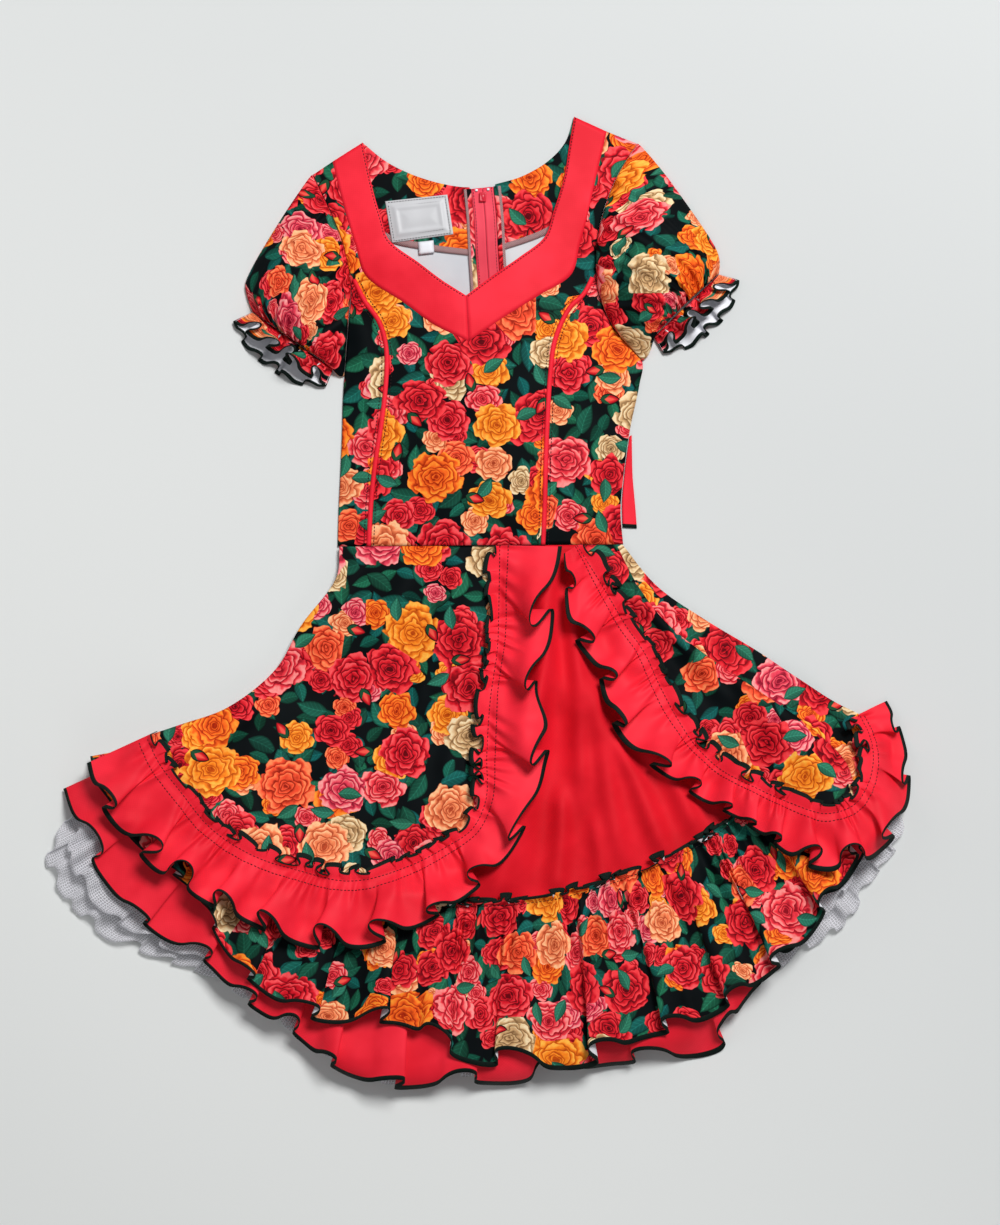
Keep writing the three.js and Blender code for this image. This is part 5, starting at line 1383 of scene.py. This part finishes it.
# Sleeves: a flat-bottomed ring from the armhole to the cuff
SLEEVE_FOLDS = [   # place down the sleeve head, width, height at the armhole, at the middle and at the cuff
    (0.10, 0.020, 2.5, 0.5, 3.0), (0.17, 0.022, 3.5, 1.5, 4.0), (0.24, 0.018, 2.0, 0.5, 3.5),
    (0.31, 0.024, 4.0, 2.0, 4.5), (0.385, 0.020, 2.5, 1.0, 4.0), (0.455, 0.024, 3.5, 2.0, 4.5),
    (0.53, 0.022, 4.0, 1.5, 5.0), (0.60, 0.020, 2.0, 1.0, 3.5), (0.67, 0.024, 3.5, 1.5, 4.5),
    (0.745, 0.020, 2.5, 0.5, 4.0), (0.82, 0.022, 3.0, 1.0, 4.0), (0.90, 0.020, 1.5, 0.0, 3.0),
]
SLEEVE_EDGE = 3.8                      # height of the sleeve's two side folds
SLEEVE_FOLD_SIZE = 2.1
ARMHOLE_GAP = 0.55


def measure(points):
    """Flat cloth under a grid of points, from its own lengths."""
    across = np.linalg.norm(np.diff(points, axis=1), axis=2)
    down = np.linalg.norm(np.diff(points, axis=0), axis=2)
    u = np.concatenate([np.zeros((len(points), 1)), np.cumsum(across, 1)], 1)
    u -= u[:, -1:] / 2
    v = np.concatenate([np.zeros((1, points.shape[1])), np.cumsum(down, 0)], 0)
    return np.dstack([u, v])


def make_sleeve(side, rows, armhole):
    sign = -1 if side == "left" else 1
    head = curve(armhole)
    places = np.linspace(0, 1, len(rows))
    rails = [curve([(i * 10, row[k][axis]) for i, row in enumerate(rows)])
             for k in range(3) for axis in (0, 1)]
    top = np.linspace(0, 1, 121)
    low = np.linspace(1, 0, 41)
    rings = []
    for t in np.linspace(0, 1, 46):
        edges = [(float(rails[2 * k](t)[1]), float(rails[2 * k + 1](t)[1])) for k in range(3)]
        middle = curve(edges)
        away = float(smooth(3 * t))
        rise = float(np.interp(t, places, [row[3] for row in rows]))

        def edge(s):
            return mix(head(s) + np.array([sign * ARMHOLE_GAP, 0]), middle(s), away)

        wave = np.zeros_like(top)
        for at, width, a, b, c in SLEEVE_FOLDS:
            place = at + 0.012 * math.sin(5 * t + 40 * at)
            size = np.interp(t, [0, 0.06, 0.3, 0.55, 0.8, 1.0],
                             [0.3 * a, a, mix(a, b, 0.6), b, mix(b, c, 0.5), c])
            wave += size * np.exp(-(((top - place) / (width * (1.3 - 0.4 * abs(2 * t - 1)))) ** 2))
        dome = np.sin(np.pi * top)
        z = SLEEVE_EDGE + rise * dome**0.75 + SLEEVE_FOLD_SIZE * wave * np.minimum(1, 2 * dome)
        upper = np.column_stack([edge(top), z])
        under = np.column_stack([edge(low), np.zeros_like(low)])
        rings.append(np.vstack([upper, under, upper[:1]]))
    points = np.array(rings)
    shift = PUFF_LEFT_SHIFT if side == "left" else PUFF_RIGHT_SHIFT
    cloth(f"puff_{side}", [(points, measure(points) + np.array(shift), no_edge(points))], PRINTED, "print",
          [f"sleeve_{side}"], facing="out", weld=True)
    make_cuff(side, rows[-1])


CUFF_TOP = [   # length, height, lean
    (30, 17, 0.7), (38, 25, 0.9), (28, 21, 0.7), (36, 25, -0.8), (28, 17, -0.6),
]
CUFF_LOW = [   # length, height, lean
    (30, 5, 0.4), (36, 9, 0.5), (30, 8, 0.4), (36, 9, -0.5), (34, 6, -0.4),
]
CUFF_WIDTH = 40
CUFF_LAYERS = [   # reach of the hem, its waves, whether it lies on the floor, and how it is gathered
    (0.66, CUFF_TOP, False, {"gathers": 9, "pucker": 2.2, "omega": 1.8, "dip": 0.62}),
    (1.08, CUFF_LOW, True, {"gathers": 14, "pucker": 0.6, "omega": 1.35, "dip": 0.16}),
]


class Follow:
    """A line at a changing distance from another line."""

    def __init__(self, read):
        self.read = read
        self.length = Line(read(np.linspace(0, 1, 300))).length

    def __call__(self, t):
        return self.read(np.clip(t, 0, 1))


def make_cuff(side, foot):
    a, b = np.array(foot[0], float), np.array(foot[2], float)
    span = math.dist(a, b)
    along = (b - a) / span
    out = np.array([along[1], -along[0]]) if side == "left" else np.array([-along[1], along[0]])
    sign = 1 if out[1] < 0 else -1

    def at(run, push):
        return a + along * run[..., None] + out * sign * push[..., None]

    def gathered(s):
        return at(mix(0, span, s), np.full_like(s, 0.8))

    def hem(share):
        def read(s):
            ends = np.abs(2 * s - 1) ** 3
            push = mix(share, 0.62, ends) * CUFF_WIDTH * (1 - 0.12 * ends)
            return at(mix(-12, span + 5, s), push)
        return read

    parts = []
    for share, table, low, gathering in CUFF_LAYERS:
        plan, relief, _, _ = frill(Line(gathered(np.linspace(0, 1, 50))), Follow(hem(share)), table, rows=12,
                                   step=1.3, lean_size=0.6, seed=4, **gathering)
        s = np.linspace(0, 1, plan.shape[1])[None, :]
        t = np.linspace(0, 1, plan.shape[0])[:, None]
        ends = 1 - np.abs(2 * s - 1) ** 6
        if low:
            z = 0.2 + SLEEVE_EDGE * (1 - smooth(6 * s) * smooth(6 * (1 - s))) + relief * ends
            plan, z = plan[:, ::-1], z[:, ::-1]
        else:
            z = SLEEVE_EDGE + (13 + 2 * t) * np.sin(np.pi * s) ** 0.6 + relief * ends
        parts.append(np.dstack([plan, z]))
    points = np.concatenate([parts[0][:, :-1], parts[1][:, :-1], parts[0][:, :1]], axis=1)
    mask = no_edge(points)
    mask[-1] = True
    flat = measure(points) + np.array(CUFF_SHIFT)
    # The cuff's inside takes the lighter reverse, which is painted light.
    cloth(f"cuff_{side}", [(points, flat, mask)], [PRINT, REVERSE_PAINTED_LIGHT, OVERLOCK], "print",
          [f"cuff_ruffle_{side}"], facing="out", weld=True)


# Skirt
SKIRT_CREASES = [   # from x, y to x, y, then width and height
    (84, 58, 62, -200, 11, 13.5), (108, 20, 120, -230, 10, 12.2), (74, -60, 40, -330, 13, 12.2),
    (128, -80, 164, -300, 12, 13.5), (60, 40, 98, -120, 8, 5.4), (152, -140, 218, -290, 10, 12.2),
    (96, -210, 90, -338, 10, 10.8), (182, -120, 252, -262, 9, 10.8), (52, -180, 22, -342, 9, 8.1),
    (132, -240, 144, -334, 8, 8.1), (40, -100, 10, -345, 12, 9.5),
]
OVERLAY_CREASES = [   # from x, y to x, y, then width and height
    (-120, 60, -290, -140, 13, 6.5), (-70, 58, -200, -250, 15, 8.0), (-20, 60, -110, -280, 14, 7.5),
    (-10, 0, -40, -240, 11, 5.5), (-160, 40, -250, -60, 10, 5.0), (-250, -120, -330, -170, 11, 5.5),
    (-180, -150, -250, -250, 11, 5.5), (-100, -60, -160, -290, 10, 4.5), (140, 55, 300, -120, 9, 7.0),
    (150, 20, 270, -160, 9, 5.5), (220, -30, 380, -150, 9, 7.5), (300, -100, 400, -200, 10, 6.5),
    (-30, 55, -20, -60, 9, 3.5), (-140, 20, -200, -60, 9, 3.5),
]


WAIST_PLACES = (-161, -80, 0, 80, 164)
KNEE = [(-159, 30), (10, 5), (168, 32)]             # cross lines of the skirt, from the waist down
HIP_FRONT = [(-196, -38), (10, -80), (256, -40)]
HIP_BACK = [(-190, -38), (10, -50), (250, -40)]
LOW_FRONT = [(-295, -132), (13, -225), (366, -108)]
LOW_BACK = [(-290, -127), (10, -215), (366, -102)]
NETS = [   # name, hem, waves, seed
    ("petticoat_back", NET_BACK_HEM, 34, 21),
    ("petticoat_front", NET_FRONT_HEM, 31, 22),
]
NET_RUMPLE = (9.0, 23)                              # height and size
YOKE_ROWS = 7


def make_skirt_back(pile, top, low):
    knee = curve(KNEE)
    plan = fan(60, 44, [(0, top), (0.13, knee), (0.35, curve(HIP_BACK)), (1, curve(OVERLAY_BACK_HEM))])
    points, = lay(pile, [(plan, wander(plan, 1.5, 90, 11))])
    cloth("overlay_back_cloth", [(points, turn_flat(plan, "overlay_back"), no_edge(plan))], PRINTED, "print",
          ["overlay_back"], facing="down")
    plan = fan(70, 56, [(0, top), (0.1, knee), (0.25, curve(HIP_FRONT)), (0.5, low), (1, curve(BACK_HEM))])
    points, = lay(pile, [(plan, wander(plan, 2.0, 120, 12))], soft=14)
    cloth("skirt_back_cloth", [(points, plan, no_edge(plan))], CORAL_CUT, "coral", ["skirt_back"],
          facing="down")


def make_petticoats(pile, low):
    """Two layers of net, each gathered to a yoke."""
    middle = curve(NET_SEAM)
    for name, hem, count, seed in NETS:
        rng = np.random.default_rng(seed)
        way = np.sign(np.sin(np.arange(count) * 0.9 + seed))
        table = np.column_stack([rng.uniform(24, 60, count), rng.uniform(4, 9, count),
                                 rng.uniform(0.1, 0.6, count) * way])
        start = Follow(lambda s: mix(low(s), middle(s), 0.6))
        plan, relief, flat, mask = frill(start, curve(hem), table, rows=24, gathers=19, pucker=2.5, step=3.0,
                                         omega=1.2, narrow=0.1, hem_share=0.0, seed=seed)
        share = np.linspace(0, 1, YOKE_ROWS)[:, None, None]
        upper = mix(low(np.linspace(0, 1, plan.shape[1]))[None], plan[0][None], share)
        rumple = wander(plan, *NET_RUMPLE, seed)
        yoke, net = lay(pile, [(upper, (relief[:1] + rumple[:1]) * share[..., 0]), (plan, relief + rumple)])
        yoke_flat = np.array(YOKE_SHIFT) + upper * [1, -1]
        cloth(f"{name}_net", [(net, flat, mask), (yoke, yoke_flat, no_edge(upper))], [NET, NET, BINDING],
              "net", [name])


def make_skirt_front(pile, top):
    head = curve(FLOUNCE_HEAD)
    plan, relief, flat, mask = frill(head, curve(RED_HEM), RED_HEM_WAVES, rows=16, gathers=22, pucker=3.0,
                                     omega=1.5, narrow=0.3, dip=0.12, step=3.2, seed=31)
    front = fan(190, 84, [(0, top), (0.12, curve(KNEE)), (0.3, curve(HIP_FRONT)), (0.62, curve(LOW_FRONT)),
                         (1, head)])
    folds = creases(front, SKIRT_CREASES) + wander(front, 1.5, 90, 13)
    tier, skirt = lay(pile, [(plan, relief), (front, folds)])
    cloth("hem_tier", [(tier, flat, mask)], CORAL_CUT, "coral", ["skirt_hem_tier"])
    # The front panel's outside takes the darker coral crepe, which is painted shade.
    cloth("skirt_front_cloth", [(skirt, turn_flat(front, "skirt_front"), no_edge(front))],
          [CORAL_PAINTED_SHADE, CORAL, OVERLOCK], "coral", ["skirt_front"])
    plan, relief, flat, mask = frill(head, curve(FLOUNCE_HEM), FLOUNCE_WAVES, heading=12.0, rows=30,
                                     gathers=18, pucker=5.0, omega=1.52, narrow=0.3, dip=0.12, step=3.2,
                                     curl=1.7, loop=0.8, seed=32)
    points, = lay(pile, [(plan, relief)])
    # The flounce's inside takes the lighter reverse, which is painted light.
    cloth("flounce", [(points, flat + np.array(FLOUNCE_SHIFT), mask)], [PRINT, REVERSE_PAINTED_LIGHT, OVERLOCK], "print",
          ["flounce_front"])
    return [gather_rail(points, 4)]


def make_skirt(pile):
    top = curve([under_waist(x) for x in WAIST_PLACES])
    low = curve(LOW_BACK)
    make_skirt_back(pile, top, low)
    make_petticoats(pile, low)
    return make_skirt_front(pile, top)


def gather_rail(points, row):
    """The line of the gathering stitches, on one row of a frill."""
    rail = points[row].copy()
    rail[:, 2] += 0.25
    return rail


LEFT_CORNER, RIGHT_CORNER = 6, 8       # rows of the ruffles' tables at the corners of the overlays
FOLD_ROW = 11                          # row at the fold of the right overlay
OVERLAY_SWELL = (1.5, 100, 41)         # height, size, seed
RUFFLE_SWELL = (4.0, 26)               # height, size
RUFFLE_RELIEF = 0.79
RUFFLES = [   # side, edge, waves, sign, seed
    ("left", RUFFLE_LEFT, LEFT_WAVES, 1, 51),
    ("right", RUFFLE_RIGHT, RIGHT_WAVES, -1, 52),
]


def make_overlays(pile):
    def plan_of(table, start=0, stop=None):
        return [(x, y) for x, y, _ in table[start:stop]]

    def folds(plan):
        return creases(plan, OVERLAY_CREASES) + wander(plan, *OVERLAY_SWELL)

    left = panel(90, 80, Corners(under_waist(-162), under_waist(24)),
                 curve([under_waist(24)] + plan_of(RUFFLE_LEFT, 1, LEFT_CORNER + 1)),
                 curve(plan_of(RUFFLE_LEFT, LEFT_CORNER)[::-1]),
                 curve([under_waist(-162)] + OVERLAY_LEFT_SIDE))
    seam = [under_waist(159)] + OVERLAY_RIGHT_FOLD
    right = panel(50, 80, Corners(under_waist(113), seam[0]), curve(seam),
                  curve(plan_of(RUFFLE_RIGHT, RIGHT_CORNER - 1, FOLD_ROW + 1)),
                  curve([under_waist(113)] + plan_of(RUFFLE_RIGHT, 1, RIGHT_CORNER)))
    sideways = panel(22, 80, Corners(seam[0], under_waist(166)),
                     curve([under_waist(166)] + OVERLAY_RIGHT_SIDE),
                     curve(plan_of(RUFFLE_RIGHT, FOLD_ROW)), curve(seam))
    laid = lay(pile, [(left, folds(left))])
    laid += lay(pile, [(plan, folds(plan)) for plan in (right, sideways)])
    for points, plan, place, node in zip(laid, (left, right, sideways),
                                         ("overlay_left", "overlay_right", "overlay_side"),
                                         ("overlay_left", "overlay_right", "overlay_side_right")):
        cloth(f"{place}_cloth", [(points, turn_flat(plan, place), no_edge(plan))], PRINTED, "print", [node])
    rails = []
    for side_name, edge, table, side, seed in RUFFLES:
        line = curve(plan_of(edge))
        widths = curve([(i * 60, width) for i, (_, _, width) in enumerate(edge)])

        def hem(s, line=line, widths=widths, side=side):
            along = line(s + 0.03) - line(s - 0.03)
            size = np.hypot(along[..., 0], along[..., 1])[..., None] * side
            outward = np.stack([-along[..., 1], along[..., 0]], -1) / size
            return line(s) + outward * widths(s)[..., 1:]

        plan, relief, flat, mask = frill(line, Follow(hem), table, heading=18.0, rows=18, gathers=14.5,
                                         pucker=4.0, omega=1.62, narrow=0.35, lean_size=0.55, dip=0.34,
                                         step=2.4, curl=1.7,
                                         seed=seed)
        plan[..., 1] = np.minimum(plan[..., 1], waist(plan[..., 0]) - 0.5)
        far = flat[..., 1] / flat[-1:, :, 1]
        relief = RUFFLE_RELIEF * relief + wander(plan, *RUFFLE_SWELL, seed) * np.clip(far, 0, 1) ** 0.6
        points, = lay(pile, [(plan, relief)], soft=8)
        cloth(f"ruffle_{side_name}_coral", [(points, flat, mask)], CORAL_CUT, "coral",
              [f"ruffle_{side_name}"])
        rails += [gather_rail(points, row) for row in (4, 6)]
    return rails


def make_zip_ends():
    """Slider and stops, rounded, over the closed teeth."""
    for node in ("zip_slider", "zip_stop_left", "zip_stop_right"):
        low, high = [np.array(v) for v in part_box(node)]
        size, middle = high - low, (high + low) / 2
        bpy.ops.mesh.primitive_cube_add(size=1, location=tuple(middle))
        piece = bpy.context.object
        piece.name = f"{node}_formed"
        piece.scale = tuple(size)
        bpy.ops.object.transform_apply(location=True, rotation=False, scale=True)
        bevel = piece.modifiers.new("rounding", "BEVEL")
        bevel.width = float(min(size)) * 0.32
        bevel.segments = 3
        bpy.ops.object.modifier_apply(modifier="rounding")
        if node == "zip_slider":
            bpy.ops.object.mode_set(mode="EDIT")
            bpy.ops.mesh.select_all(action="DESELECT")
            bpy.ops.object.mode_set(mode="OBJECT")
            for face in piece.data.polygons:
                face.select = face.normal.z > 0.99
            bpy.ops.object.mode_set(mode="EDIT")
            bpy.ops.mesh.inset(thickness=0.0012, depth=-0.0005)
            bpy.ops.mesh.inset(thickness=0.0009, depth=0.0007)
            bpy.ops.object.mode_set(mode="OBJECT")
        bpy.ops.object.shade_smooth_by_angle(angle=math.radians(40))
        bpy.ops.object.transform_apply(location=True, rotation=True, scale=True)
        piece.data.materials.append(METAL_RED if node == "zip_slider" else BINDING)
        bpy.ops.object.select_all(action="DESELECT")
        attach(piece, "root")
        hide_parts(node)


def make_floor():
    bpy.ops.mesh.primitive_plane_add(size=14, location=(0, 0, -0.0004))
    floor = bpy.context.object
    floor.name = "floor"
    floor.data.materials.append(floor_finish())
    bpy.ops.object.select_all(action="DESELECT")


bodice_pile = Pile()
make_bodice_back(bodice_pile)
make_zip(bodice_pile)
make_facings(bodice_pile)
make_label(bodice_pile)
make_bodice_front(bodice_pile)
make_zip_ends()
make_sash()
make_sleeve("left", SLEEVE_LEFT, ARMHOLE_LEFT)
make_sleeve("right", SLEEVE_RIGHT, ARMHOLE_RIGHT)
skirt_pile = Pile()
gather_lines = make_skirt(skirt_pile)
gather_lines += make_overlays(skirt_pile)
stitches("gathering_stitches", gather_lines, DARK_THREAD, 3.2, 1.4, 0.46)
make_floor()
